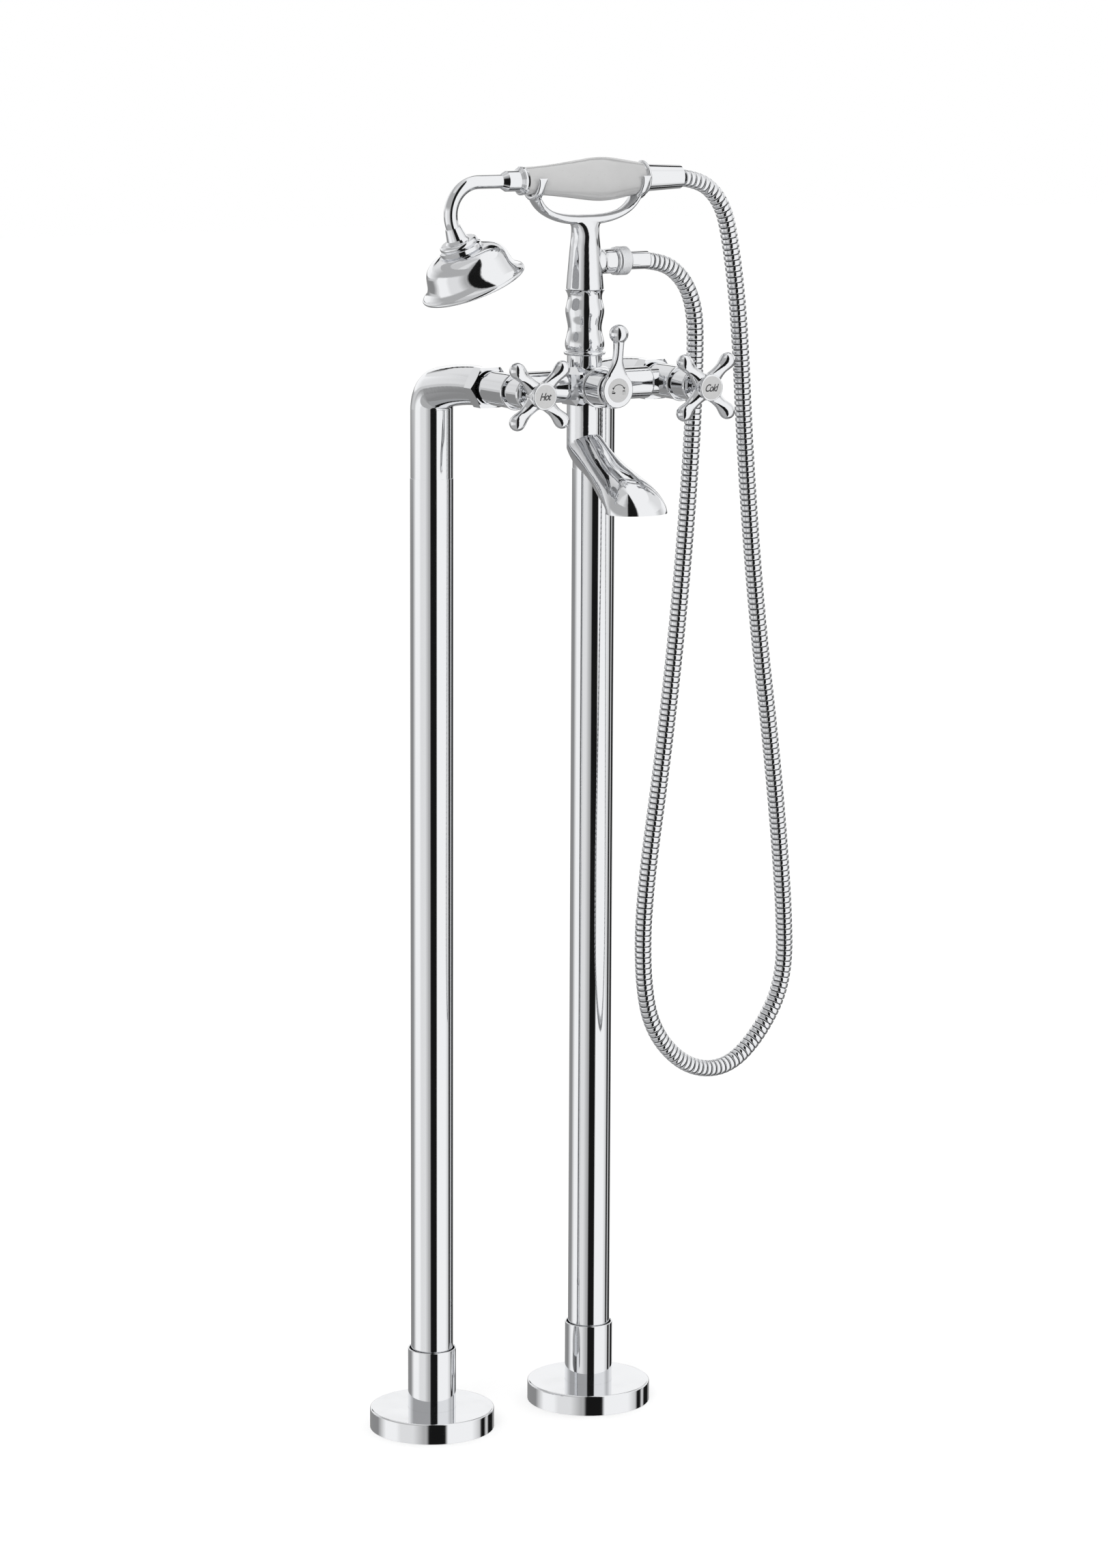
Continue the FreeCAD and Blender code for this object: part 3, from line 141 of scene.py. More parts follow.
# ------------------------------------------------------------------ finishes
def chrome_plate(name="polished chrome plate", rough=0.03, wave=0.03):
    """Chrome over polished brass. It mirrors its surroundings sharply and a little coolly; faint
    wipe marks and the buffing's long shallow waves keep the mirror from being perfect."""
    tone = bpy.context.scene.filler_finish
    material, tree = new_material(name)
    wiped = speckle(tree, 22.0, 5.0)
    grain = speckle(tree, 1.1, 2.0)
    haze = add(tree, "ShaderNodeMath", {0: spread(tree, wiped, 0.0, 0.045),
                                        1: spread(tree, grain, 0.0, 0.012)}, operation="ADD")
    roughness = add(tree, "ShaderNodeMath", {0: haze.outputs[0], 1: rough}, operation="ADD")
    shader = add(tree, "ShaderNodeBsdfPrincipled", {
        "Base Color": tuple(tone.chrome) + (1.0,),
        "Metallic": 1.0,
        "Roughness": roughness.outputs[0],
        "Normal": relief(tree, speckle(tree, 9.0, 2.0), 0.02, wave),
    })
    add(tree, "ShaderNodeOutputMaterial", {"Surface": shader.outputs[0]})
    return material


def glazed_porcelain():
    """Slip-cast porcelain under a clear glaze. The white body shows a cool grey cast, with rare
    specks fired into it, and the glaze lies in a faintly uneven coat."""
    tone = bpy.context.scene.filler_finish
    material, tree = new_material("glazed porcelain")
    body = tuple(tone.porcelain) + (1.0,)
    cloud = add(tree, "ShaderNodeMix", {
        0: spread(tree, speckle(tree, 14.0, 4.0), 0.0, 1.0),
        6: body, 7: tuple(c * 0.955 for c in tone.porcelain) + (1.0,),
    }, data_type="RGBA")
    specks = add(tree, "ShaderNodeMapRange", {
        "Value": speckle(tree, 1.6, 1.0), "From Min": 0.74, "From Max": 0.80,
    })
    colour = add(tree, "ShaderNodeMix", {
        0: specks.outputs["Result"], 6: cloud.outputs[2], 7: linear("B9B7B2"),
    }, data_type="RGBA")
    shader = add(tree, "ShaderNodeBsdfPrincipled", {
        "Base Color": colour.outputs[2],
        "Roughness": spread(tree, speckle(tree, 6.0), 0.10, 0.17),
        "IOR": 1.52,
        "Coat Weight": 0.6,
        "Coat Roughness": 0.04,
        "Normal": relief(tree, speckle(tree, 7.0, 2.0), 0.03, 0.25),
    })
    add(tree, "ShaderNodeOutputMaterial", {"Surface": shader.outputs[0]})
    return material


def vitreous_enamel():
    """Enamel fused onto a turned disc: opaque white, softly glossy, with a slight orange peel."""
    tone = bpy.context.scene.filler_finish
    material, tree = new_material("vitreous enamel")
    colour = add(tree, "ShaderNodeMix", {
        0: spread(tree, speckle(tree, 2.2, 4.0), 0.0, 1.0),
        6: tuple(tone.enamel) + (1.0,), 7: tuple(c * 0.96 for c in tone.enamel) + (1.0,),
    }, data_type="RGBA")
    shader = add(tree, "ShaderNodeBsdfPrincipled", {
        "Base Color": colour.outputs[2],
        "Roughness": spread(tree, speckle(tree, 1.5), 0.20, 0.30),
        "IOR": 1.5,
        "Normal": relief(tree, speckle(tree, 0.9, 2.0), 0.01, 0.3),
    })
    add(tree, "ShaderNodeOutputMaterial", {"Surface": shader.outputs[0]})
    return material


def machined_metal(name, code, ring_mm, rough):
    """Bare metal straight from the lathe or the drawing bench: fine tool lines ring_mm apart and
    a duller patch here and there."""
    material, tree = new_material(name)
    coordinates = add(tree, "ShaderNodeTexCoord").outputs["Object"]
    lines = add(tree, "ShaderNodeTexWave", {
        "Vector": coordinates, "Scale": 1 / (ring_mm * MM * 20), "Distortion": 0.4,
    }, bands_direction="Y").outputs["Fac"]
    colour = add(tree, "ShaderNodeMix", {
        0: spread(tree, speckle(tree, 6.0, 4.0), 0.0, 1.0),
        6: linear(code), 7: tuple(c * 0.82 for c in linear(code)[:3]) + (1.0,),
    }, data_type="RGBA")
    shader = add(tree, "ShaderNodeBsdfPrincipled", {
        "Base Color": colour.outputs[2],
        "Metallic": 1.0,
        "Roughness": spread(tree, speckle(tree, 3.0), rough, rough + 0.12),
        "Normal": relief(tree, lines, 0.02, 0.35),
    })
    add(tree, "ShaderNodeOutputMaterial", {"Surface": shader.outputs[0]})
    return material


def sealing_rubber():
    """Moulded black nitrile rubber: matt, with a bloom of paler dust in its pores."""
    material, tree = new_material("sealing rubber")
    colour = add(tree, "ShaderNodeMix", {
        0: spread(tree, speckle(tree, 0.8, 4.0), 0.0, 1.0),
        6: linear("1B1B1C"), 7: linear("2E2E2F"),
    }, data_type="RGBA")
    shader = add(tree, "ShaderNodeBsdfPrincipled", {
        "Base Color": colour.outputs[2],
        "Roughness": spread(tree, speckle(tree, 1.2), 0.55, 0.75),
        "Normal": relief(tree, speckle(tree, 0.4, 2.0), 0.03, 0.4),
    })
    add(tree, "ShaderNodeOutputMaterial", {"Surface": shader.outputs[0]})
    return material


def fired_ink():
    """Black ceramic ink fired into the enamel: nearly black, with slightly worn edges."""
    material, tree = new_material("fired ink")
    colour = add(tree, "ShaderNodeMix", {
        0: spread(tree, speckle(tree, 0.5, 3.0), 0.0, 1.0),
        6: linear("141416"), 7: linear("2A2A2D"),
    }, data_type="RGBA")
    shader = add(tree, "ShaderNodeBsdfPrincipled", {
        "Base Color": colour.outputs[2],
        "Roughness": spread(tree, speckle(tree, 0.7), 0.25, 0.40),
        "Normal": relief(tree, speckle(tree, 0.3, 2.0), 0.005, 0.3),
    })
    add(tree, "ShaderNodeOutputMaterial", {"Surface": shader.outputs[0]})
    return material


# ------------------------------------------------------------------ surfaces
def grid_faces(rows, columns, close_rows, close_columns):
    """Quads over a grid of rows by columns points; a closed direction joins its last to its first."""
    i = np.arange(rows if close_rows else rows - 1)
    j = np.arange(columns if close_columns else columns - 1)
    i, j = (a.ravel() for a in np.meshgrid(i, j, indexing="ij"))
    up, right = (i + 1) % rows, (j + 1) % columns
    return np.stack([i * columns + j, up * columns + j, up * columns + right, i * columns + right], axis=1)


def mesh_piece(name, points, faces, material, smooth=True):
    """A mesh object at the origin from arrays of points and faces."""
    mesh = bpy.data.meshes.new(name)
    mesh.from_pydata(points.tolist(), [], faces.tolist() if isinstance(faces, np.ndarray) else faces)
    mesh.polygons.foreach_set("use_smooth", [smooth] * len(mesh.polygons))
    mesh.materials.append(material)
    mesh.validate()
    mesh.update()
    piece = bpy.data.objects.new(name, mesh)
    bpy.context.scene.collection.objects.link(piece)
    return piece


def turned(profile, segments, height=None):
    """Surface of revolution: for each (distance, radius) of a closed profile, the point at angle a
    is (distance, radius cos a, radius sin a). height(distance, a) adds to the radius."""
    distance, radius = np.array(profile).T
    angle = np.linspace(0, 2 * np.pi, segments, endpoint=False)
    d, a = np.meshgrid(distance, angle, indexing="ij")
    r = np.repeat(radius[:, None], segments, axis=1)
    if height is not None:
        r = r + height(d, a, r)
    points = np.stack([d, r * np.cos(a), r * np.sin(a)], axis=2).reshape(-1, 3)
    return points, grid_faces(len(profile), segments, True, True)


# ------------------------------------------------------------------ settings
class FinishSettings(bpy.types.PropertyGroup):
    """Colours of the finishes."""

    chrome: bpy.props.FloatVectorProperty(
        name="Chrome", description="Tint of the polished chrome", subtype="COLOR",
        default=linear("E4E5E7")[:3], min=0, max=1,
    )
    porcelain: bpy.props.FloatVectorProperty(
        name="Porcelain", description="Body colour of the glazed grip", subtype="COLOR",
        default=linear("D6D6D6")[:3], min=0, max=1,
    )
    enamel: bpy.props.FloatVectorProperty(
        name="Enamel", description="Colour of the index discs", subtype="COLOR",
        default=linear("DCDCDC")[:3], min=0, max=1,
    )


class HoseSettings(bpy.types.PropertyGroup):
    """Sizes of the hose."""

    diameter: bpy.props.FloatProperty(
        name="Diameter", description="Across the ribs", default=13.4 * MM, unit="LENGTH",
    )
    rib_pitch: bpy.props.FloatProperty(
        name="Rib pitch", description="From one band to the next", default=4.45 * MM, unit="LENGTH",
    )
    step: bpy.props.FloatProperty(
        name="Step", description="How far the inner strip lies below the band", default=0.75 * MM,
        unit="LENGTH",
    )


class NutSettings(bpy.types.PropertyGroup):
    """Sizes of the knurling on the hose nut."""

    diamonds: bpy.props.IntProperty(
        name="Diamonds", description="Diamonds round the nut", default=84, min=12,
    )
    depth: bpy.props.FloatProperty(
        name="Depth", description="Depth of the knurling", default=0.22 * MM, unit="LENGTH",
    )


class MarkSettings(bpy.types.PropertyGroup):
    """Marks on the index discs."""

    letter_height: bpy.props.FloatProperty(
        name="Letter height", description="Height of a capital", default=5.6 * MM, unit="LENGTH",
    )
    arc_radius: bpy.props.FloatProperty(
        name="Arc radius", description="Of the two-way arrow", default=4.8 * MM, unit="LENGTH",
    )


class StageSettings(bpy.types.PropertyGroup):
    """The plain studio."""

    floor: bpy.props.FloatVectorProperty(
        name="Floor", description="Colour of the floor", subtype="COLOR",
        default=linear("F4F4F4")[:3], min=0, max=1,
    )
    key: bpy.props.FloatProperty(
        name="Key light", description="Power of the large soft light", default=26.0, unit="POWER",
    )


# ------------------------------------------------------------------ pieces
class FILLER_OT_camera(bpy.types.Operator):
    """Sets the camera at the photograph's viewing angle"""

    bl_idname = "filler.camera"
    bl_label = "Camera"

    def execute(self, context):
        focal_pixels = 6946.717
        right = Vector((0.85653402, -0.51607335, 0.00421544))
        up = Vector((0.0878562, 0.15385521, 0.98417979))
        back = -Vector((0.50855753, 0.84261312, -0.17712246))
        data = bpy.data.cameras.new("camera")
        data.sensor_width = 36.0
        data.lens = focal_pixels / IMAGE[1] * data.sensor_width
        data.clip_start = 0.1
        data.clip_end = 60.0
        camera = bpy.data.objects.new("camera", data)
        turn = Matrix((right, up, back)).transposed().to_4x4()
        camera.matrix_world = Matrix.Translation((-1.920842, -3.247458, 1.206499)) @ turn
        context.scene.collection.objects.link(camera)
        context.scene.camera = camera
        return {"FINISHED"}


def hose_line():
    """Points of the route's smooth line, and the line's length: a NURBS spline whose control
    points are the route's own."""
    data = bpy.data.curves.new("hose_route", "CURVE")
    data.dimensions = "3D"
    data.resolution_u = 24
    spline = data.splines.new("NURBS")
    spline.points.add(len(HOSE_ROUTE) - 1)
    for point, (x, z) in zip(spline.points, HOSE_ROUTE):
        point.co = (x, CROSSBAR_Y, z, 1.0)
    spline.order_u = 3
    spline.use_endpoint_u = True
    route = bpy.data.objects.new("hose_route", data)
    bpy.context.scene.collection.objects.link(route)
    line = bpy.data.meshes.new_from_object(route)
    points = np.array([tuple(v.co) for v in line.vertices])
    bpy.data.objects.remove(route)
    bpy.data.meshes.remove(line)
    steps = np.linalg.norm(np.diff(points, axis=0), axis=1)
    return points, np.concatenate([[0.0], np.cumsum(steps)])


class FILLER_OT_hose(bpy.types.Operator):
    """Makes the ribbed metal hose along its route"""

    bl_idname = "filler.hose"
    bl_label = "Hose"

    def execute(self, context):
        size = context.scene.filler_hose
        line, along = hose_line()
        length = along[-1]
        radius = size.diameter / 2
        # the plain ends, inside the ferrule at the outlet and the cone nut at the grip
        plain = 12.4 * MM / 2
        ferrule_reach, nut_reach = 14.8 * MM, 18.5 * MM
        first, last = ferrule_reach, length - nut_reach
        ribs = round((last - first) / size.rib_pitch)
        pitch = (last - first) / ribs
        # one band: out of the slit, a crowned strip, and back over a shoulder into the next slit
        share = np.array([0.00, 0.03, 0.09, 0.25, 0.62, 0.80, 0.87, 0.90, 0.97])
        drop = np.array([1.70, 0.60, 0.12, 0.00, 0.00, 0.12, 0.50, 1.30, 1.45]) * size.step
        place = (first + (np.arange(ribs)[:, None] + share[None, :]) * pitch).ravel()
        band = np.tile(radius - drop, ribs)
        distance = np.concatenate([[0.0, first - 0.2 * MM], place, [last, length]])
        ring = np.concatenate([[plain, plain], band, [plain, plain]])
        centre = np.stack([np.interp(distance, along, line[:, k]) for k in range(3)], axis=1)
        ahead = np.stack([np.interp(distance + MM, along, line[:, k]) for k in range(3)], axis=1)
        behind = np.stack([np.interp(distance - MM, along, line[:, k]) for k in range(3)], axis=1)
        heading = ahead - behind
        heading /= np.linalg.norm(heading, axis=1)[:, None]
        across = np.array([0.0, 1.0, 0.0])
        normal = np.cross(heading, across)
        sides = 26
        angle = np.linspace(0, 2 * np.pi, sides, endpoint=False)
        # a ring's point at angle a is centre + r (across cos a + normal sin a)
        rings = centre[:, None, :] + ring[:, None, None] * (
            across[None, None, :] * np.cos(angle)[None, :, None]
            + normal[:, None, :] * np.sin(angle)[None, :, None]
        )
        points = rings.reshape(-1, 3)
        faces = grid_faces(len(distance), sides, False, True)[:, ::-1].tolist()
        end = (len(distance) - 1) * sides
        faces.append(list(range(sides)))
        faces.append([end + k for k in reversed(range(sides))])
        hose = mesh_piece("ribbed_hose", points, faces, chrome_plate("hose strip chrome", 0.05, 0.03))
        # the second material is a near-black metal whose colour is painted shade in the hose's slits
        hose.data.materials.append(machined_metal("painted shade in the slit", "3A3A3C", 0.25, 0.35))
        # the shoulder, the floor and the wall of each slit, counted after the plain end: these take the
        # near-black metal, which is painted shade for the dark of the narrow slits
        row = np.arange(len(distance) - 1)
        slit = np.isin((row - 2) % len(share), (0, 7, 8)) & (row > 1) & (row < len(distance) - 3)
        index = np.concatenate([np.repeat(slit.astype(int), sides), [0, 0]])
        hose.data.polygons.foreach_set("material_index", index.tolist())
        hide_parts("hose")
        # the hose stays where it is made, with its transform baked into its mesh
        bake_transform(hose)
        return {"FINISHED"}


def frame_body(node):
    """Name of the body that carries a node."""
    for name, nodes in frame["record"]["behaviour"]["bodies"].items():
        if node in nodes:
            return name
    raise ValueError("no body carries " + node)


class FILLER_OT_knurled_nut(bpy.types.Operator):
    """Makes the hose nut with its diamond knurling"""

    bl_idname = "filler.knurled_nut"
    bl_label = "Knurled nut"

    def execute(self, context):
        size = context.scene.filler_nut
        front, outer = 38.9, 11.1
        knurl_start, knurl_end = 28.4, 36.4
        edge = [(25.0, 9.1), (25.0, 9.9), (25.3, 10.5), (25.8, 10.8), (27.0, 10.8), (27.5, 10.3),
                (27.9, 10.3)]
        band = [(x, outer) for x in np.linspace(knurl_start, knurl_end, 64)]
        nose = [(36.6, outer - 0.1), (37.6, 10.0), (38.6, 8.9), (front, 8.5), (front, 7.3), (37.2, 7.3),
                (37.2, 9.1)]
        pitch = 2 * math.pi * outer / size.diamonds

        def diamonds(d, a, r):
            """Two sets of opposed helical grooves; the lower of the two leaves the diamonds."""
            turn = a * size.diamonds / (2 * np.pi)
            shift = d / pitch / 1.15
            left = np.abs((turn + shift) % 1 - 0.5) * 2
            right = np.abs((turn - shift) % 1 - 0.5) * 2
            inside = (d >= knurl_start) & (d <= knurl_end) & (r > outer - 0.05)
            return np.where(inside, -np.maximum(left, right) ** 1.5 * size.depth / MM, 0.0)

        points, faces = turned(edge + band + nose, size.diamonds * 6, diamonds)
        points = points * MM + np.array([0.0, CROSSBAR_Y, OUTLET_Z])
        nut = mesh_piece("knurled_nut", points, faces, chrome_plate("knurled chrome plate", 0.08, 0.03))
        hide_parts("hose_nut")
        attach(nut, frame_body("hose_nut"))
        return {"FINISHED"}


def swept(centres, wide, deep, across, fullness=2.0):
    """Closed shell along a line of centres. Each section is an oval, wide along the direction
    across and deep at right angles to it and to the line; a fullness over 2 squares it up."""
    centres = np.array(centres, float)
    wide, deep = np.broadcast_to(wide, len(centres)), np.broadcast_to(deep, len(centres))
    heading = np.gradient(centres, axis=0)
    heading /= np.linalg.norm(heading, axis=1)[:, None]
    side = np.broadcast_to(np.array(across, float), centres.shape)
    side = side - heading * np.sum(side * heading, axis=1)[:, None]
    side = side / np.linalg.norm(side, axis=1)[:, None]
    other = np.cross(heading, side)
    sides = 48
    angle = np.linspace(0, 2 * np.pi, sides, endpoint=False)
    c, s = np.cos(angle), np.sin(angle)
    c, s = np.sign(c) * np.abs(c) ** (2 / fullness), np.sign(s) * np.abs(s) ** (2 / fullness)
    rings = (centres[:, None, :] + (wide[:, None] * c)[:, :, None] * side[:, None, :]
             + (deep[:, None] * s)[:, :, None] * other[:, None, :])
    faces = grid_faces(len(centres), sides, False, True).tolist()
    end = (len(centres) - 1) * sides
    return rings.reshape(-1, 3), faces + [list(range(sides))[::-1], list(range(end, end + sides))]


def eased(knots, steps):
    """A smooth run of values through (position, value, ...) knots, at even steps of position."""
    knots = np.array(knots, float)
    at = np.linspace(knots[0, 0], knots[-1, 0], steps)
    slope = np.gradient(knots[:, 1:], knots[:, 0], axis=0)
    k = np.clip(np.searchsorted(knots[:, 0], at, side="right") - 1, 0, len(knots) - 2)
    span = (knots[k + 1, 0] - knots[k, 0])[:, None]
    t = (at - knots[k, 0])[:, None] / span
    value = ((2 * t ** 3 - 3 * t ** 2 + 1) * knots[k, 1:] + (t ** 3 - 2 * t ** 2 + t) * span * slope[k]
             + (3 * t ** 2 - 2 * t ** 3) * knots[k + 1, 1:] + (t ** 3 - t ** 2) * span * slope[k + 1])
    return np.column_stack([at, value])


def round_end(centre, radius, steps=12):
    """(distance, radius) of the far half of a ball."""
    angle = np.linspace(0, math.pi / 2, steps + 1)[1:-1]
    tip = [(centre + radius, radius * 0.02)]
    return [(centre + radius * math.sin(a), radius * math.cos(a)) for a in angle] + tip


def casting(name, node, shells, grain, easing):
    """One casting from overlapping closed shells in millimetres: remeshed into a single skin of the
    given grain, then eased so that the inner corners fill. It replaces the node."""
    points, faces, start = [], [], 0
    for shell_points, shell_faces in shells:
        points.append(shell_points)
        faces += [[start + k for k in face] for face in shell_faces]
        start += len(shell_points)
    metal = chrome_plate("cast chrome plate")
    piece = mesh_piece(name, np.concatenate(points) * MM, faces, metal)
    skin = piece.modifiers.new("skin", "REMESH")
    skin.mode = "VOXEL"
    skin.voxel_size = grain * MM
    skin.use_smooth_shade = True
    ease = piece.modifiers.new("ease", "SMOOTH")
    ease.factor = 0.5
    ease.iterations = easing
    done = piece.evaluated_get(bpy.context.evaluated_depsgraph_get())
    mesh = bpy.data.meshes.new_from_object(done)
    piece.modifiers.clear()
    piece.data = mesh
    mesh.materials.clear()
    mesh.materials.append(metal)
    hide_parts(node)
    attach(piece, frame_body(node))
    return piece


class FILLER_OT_cross_handles(bpy.types.Operator):
    """Makes the cross handles with their full, bulb-ended arms"""

    bl_idname = "filler.cross_handles"
    bl_label = "Cross handles"

    def execute(self, context):
        # from the hub's axis: the arm swells out of the hub, narrows and fills out to its bulb
        bulb_at, bulb = 27.9, 6.3
        arm = eased([(3.0, 7.2), (8.0, 6.3), (12.5, 5.3), (16.5, 4.75), (20.0, 4.85), (23.5, 5.6),
                     (26.0, 6.15), (bulb_at, bulb)], 40).tolist() + round_end(bulb_at, bulb)
        reach, radius = np.array(arm).T
        plane, front, back = -165.8, -174.4, -150.1
        # the hub from its front rim to its back, as (y, radius)
        hub = [(front, 9.9), (front + 0.4, 10.35), (front + 1.6, 10.4), (front + 2.4, 10.0)]
        hub = hub + [tuple(row) for row in eased([(front + 3.0, 9.9), (-168.0, 10.3), (-164.0, 10.2),
                                                  (-159.0, 9.1), (-154.0, 7.8), (back, 7.4)], 24)]
        for side, x in (("hot", -TAP_X / MM), ("cold", TAP_X / MM)):
            y, r = np.array(hub).T
            z = np.full(len(y), TAP_Z / MM)
            shells = [swept(np.column_stack([np.full(len(y), x), y, z]), r, r, (1, 0, 0))]
            for turn in (45, 135, 225, 315):
                way = np.array([math.cos(math.radians(turn)), 0, math.sin(math.radians(turn))])
                line = np.array([x, plane, TAP_Z / MM]) + reach[:, None] * way
                shells.append(swept(line, radius, radius, (0, 1, 0)))
            casting("cast_handle_" + side, "cross_handle_" + side, shells, 0.36, 10)
        return {"FINISHED"}


class FILLER_OT_lever(bpy.types.Operator):
    """Makes the diverter's lever: an eye that draws out into a round stem and a ball"""

    bl_idname = "filler.lever"
    bl_label = "Lever"

    def execute(self, context):
        axis, face, back = TAP_Z / MM, -158.2, -153.2
        eye = [(face, 12.6), (face + 0.3, 13.3), (face + 1.0, 13.75), (back - 1.0, 13.75), (back, 12.9)]
        y, r = np.array(eye).T
        shells = [swept(np.column_stack([0 * y, y, np.full(len(y), axis)]), r, r, (1, 0, 0))]
        # rise over the axis, half width, half depth, and where the middle of the depth lies
        stem = eased([(3.0, 13.2, 2.45, -155.7), (9.0, 10.6, 2.5, -155.7), (14.0, 7.9, 2.7, -155.8),
                      (19.0, 5.5, 3.1, -156.2), (24.0, 4.1, 3.6, -156.8), (29.0, 3.75, 3.9, -157.4),
                      (34.0, 3.85, 4.1, -157.9), (39.0, 4.2, 4.3, -158.2)], 60)
        rise, wide, deep, middle = stem.T
        shells.append(swept(np.column_stack([0 * rise, middle, axis + rise]), wide, deep, (1, 0, 0), 2.5))
        ball, ball_rise, ball_y = 7.4, 43.3, -158.2
        angle = np.linspace(-0.49, 0.49, 28) * math.pi
        rise = axis + ball_rise + ball * np.sin(angle)
        line = np.column_stack([0 * rise, 0 * rise + ball_y, rise])
        shells.append(swept(line, ball * np.cos(angle), ball * np.cos(angle), (1, 0, 0)))
        casting("cast_lever", "diverter_lever", shells, 0.36, 8)
        return {"FINISHED"}


class FILLER_OT_cradle(bpy.types.Operator):
    """Makes the cradle as one flowing casting: stem, outlet, fork and four horns"""

    bl_idname = "filler.cradle"
    bl_label = "Cradle"

    def execute(self, context):
        middle, rest = CROSSBAR_Y / MM, HANDSET_Z / MM
        # stem: (height, half width, half depth), flared where it meets the fork
        stem = np.array([(924.0, 7.9, 7.9), (932.9, 7.9, 7.9), (933.0, 14.5, 14.5), (934.0, 14.6, 14.6)])
        rise = eased([(934.0, 14.6, 14.6), (950.0, 13.3, 13.3), (966.0, 11.9, 11.9), (978.0, 10.9, 10.8),
                      (982.0, 11.6, 9.6), (985.0, 14.0, 8.2), (987.0, 17.0, 7.0)], 60)[1:]
        z, wide, deep = np.vstack([stem, rise]).T
        line = np.column_stack([0 * z, 0 * z + middle, z])
        shells = [swept(line, wide, deep, (1, 0, 0))]
        # outlet on the cold side, with its thread under the hose nut
        outlet = [(4.0, 10.8), (10.0, 10.9), (12.6, 10.7), (14.5, 9.9), (17.0, 9.6), (24.9, 9.6),
                  (25.0, 8.9), (33.0, 8.9)]
        x, r = np.array(outlet).T
        line = np.column_stack([x, 0 * x + middle, 0 * x + OUTLET_Z / MM])
        shells.append(swept(line, r, r, (0, 1, 0)))
        # fork: (x, height of its middle, half depth front to back, half thickness)
        half = [(0.0, 987.1, 6.9, 3.9), (10.0, 987.2, 6.9, 3.9), (18.0, 988.0, 6.7, 3.7),
                (26.0, 989.7, 6.6, 3.4), (33.0, 992.3, 6.7, 3.1), (38.0, 995.4, 7.0, 3.1),
                (42.0, 999.2, 7.6, 3.0), (45.0, 1003.4, 8.2, 2.8)]
        bar = eased([(-a, b, c, d) for a, b, c, d in half[:0:-1]] + half, 140)
        x, z, deep, thick = bar.T
        shells.append(swept(np.column_stack([x, 0 * x + middle, z]), deep, thick, (0, 1, 0), 2.3))
        # horns: (degrees up from the bottom, half width along the grip, half thickness, flare)
        horn = eased([(0.0, 3.6, 2.2, 0.5), (35.0, 3.6, 1.9, 0.1), (60.0, 3.2, 1.6, 0.0),
                      (78.0, 3.3, 1.4, 0.7), (92.0, 4.0, 1.2, 2.0), (99.0, 4.4, 1.0, 3.0)], 50)
        saddle_x, front_bore, rear_bore = 46.5, 11.05, 12.0
        for x, bore in ((-saddle_x, front_bore), (saddle_x, rear_bore)):
            for way in (-1, 1):
                turn = np.radians(horn[:, 0])
                radius = bore + horn[:, 2] + horn[:, 3]
                line = np.column_stack([0 * turn + x, middle + way * radius * np.sin(turn),
                                        rest - radius * np.cos(turn)])
                shells.append(swept(line, horn[:, 1], horn[:, 2], (1, 0, 0), 2.4))
        casting("cast_cradle", "cradle", shells, 0.48, 9)
        return {"FINISHED"}


# a mark's middle lies this far in front of its disc, and the mark reaches this far either way
MARK_GAP = 0.02 * MM
MARK_DEPTH = 0.03 * MM


def stand_up(points, x, front, z):
    """Puts flat marks drawn in (right, up) onto a disc that faces -Y."""
    return np.stack([points[:, 0] + x, np.full(len(points), front) + points[:, 2], points[:, 1] + z], axis=1)


def word_points(word, height):
    """A word's outline as a thin mesh, centred on its own middle and leaning a little."""
    data = bpy.data.curves.new(word, "FONT")
    data.body = word
    data.size = height / 0.7
    data.shear = 0.42
    data.extrude = MARK_DEPTH
    data.offset = 0.10 * MM
    data.space_character = 0.86
    data.resolution_u = 6
    text = bpy.data.objects.new(word, data)
    bpy.context.scene.collection.objects.link(text)
    mesh = bpy.data.meshes.new_from_object(text)
    points = np.array([tuple(v.co) for v in mesh.vertices])
    faces = [list(p.vertices) for p in mesh.polygons]
    bpy.data.objects.remove(text)
    bpy.data.meshes.remove(mesh)
    middle = (points.min(axis=0) + points.max(axis=0)) / 2
    return (points - middle) * (0.82, 1.0, 1.0), faces


class FILLER_OT_tap_marks(bpy.types.Operator):
    """Writes hot and cold on the taps' index discs"""

    bl_idname = "filler.tap_marks"
    bl_label = "Tap marks"

    def execute(self, context):
        size = context.scene.filler_marks
        ink = fired_ink()
        for side, word, x in (("hot", "Hot", -TAP_X), ("cold", "Cold", TAP_X)):
            low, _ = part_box("index_disc_" + side)
            points, faces = word_points(word, size.letter_height)
            placed = stand_up(points, x, low[1] - MARK_GAP, TAP_Z)
            mark = mesh_piece("mark_" + side, placed, faces, ink, smooth=False)
            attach(mark, frame_body("index_disc_" + side))
        return {"FINISHED"}


def ribbon(centre, width):
    """A flat band of even width along a line of (right, up) points: each point gives two, half the
    width to either side, square to the line."""
    along = np.gradient(centre, axis=0)
    along /= np.linalg.norm(along, axis=1)[:, None]
    side = np.stack([-along[:, 1], along[:, 0]], axis=1) * width / 2
    rim = np.concatenate([centre + side, (centre - side)[::-1]])
    return rim


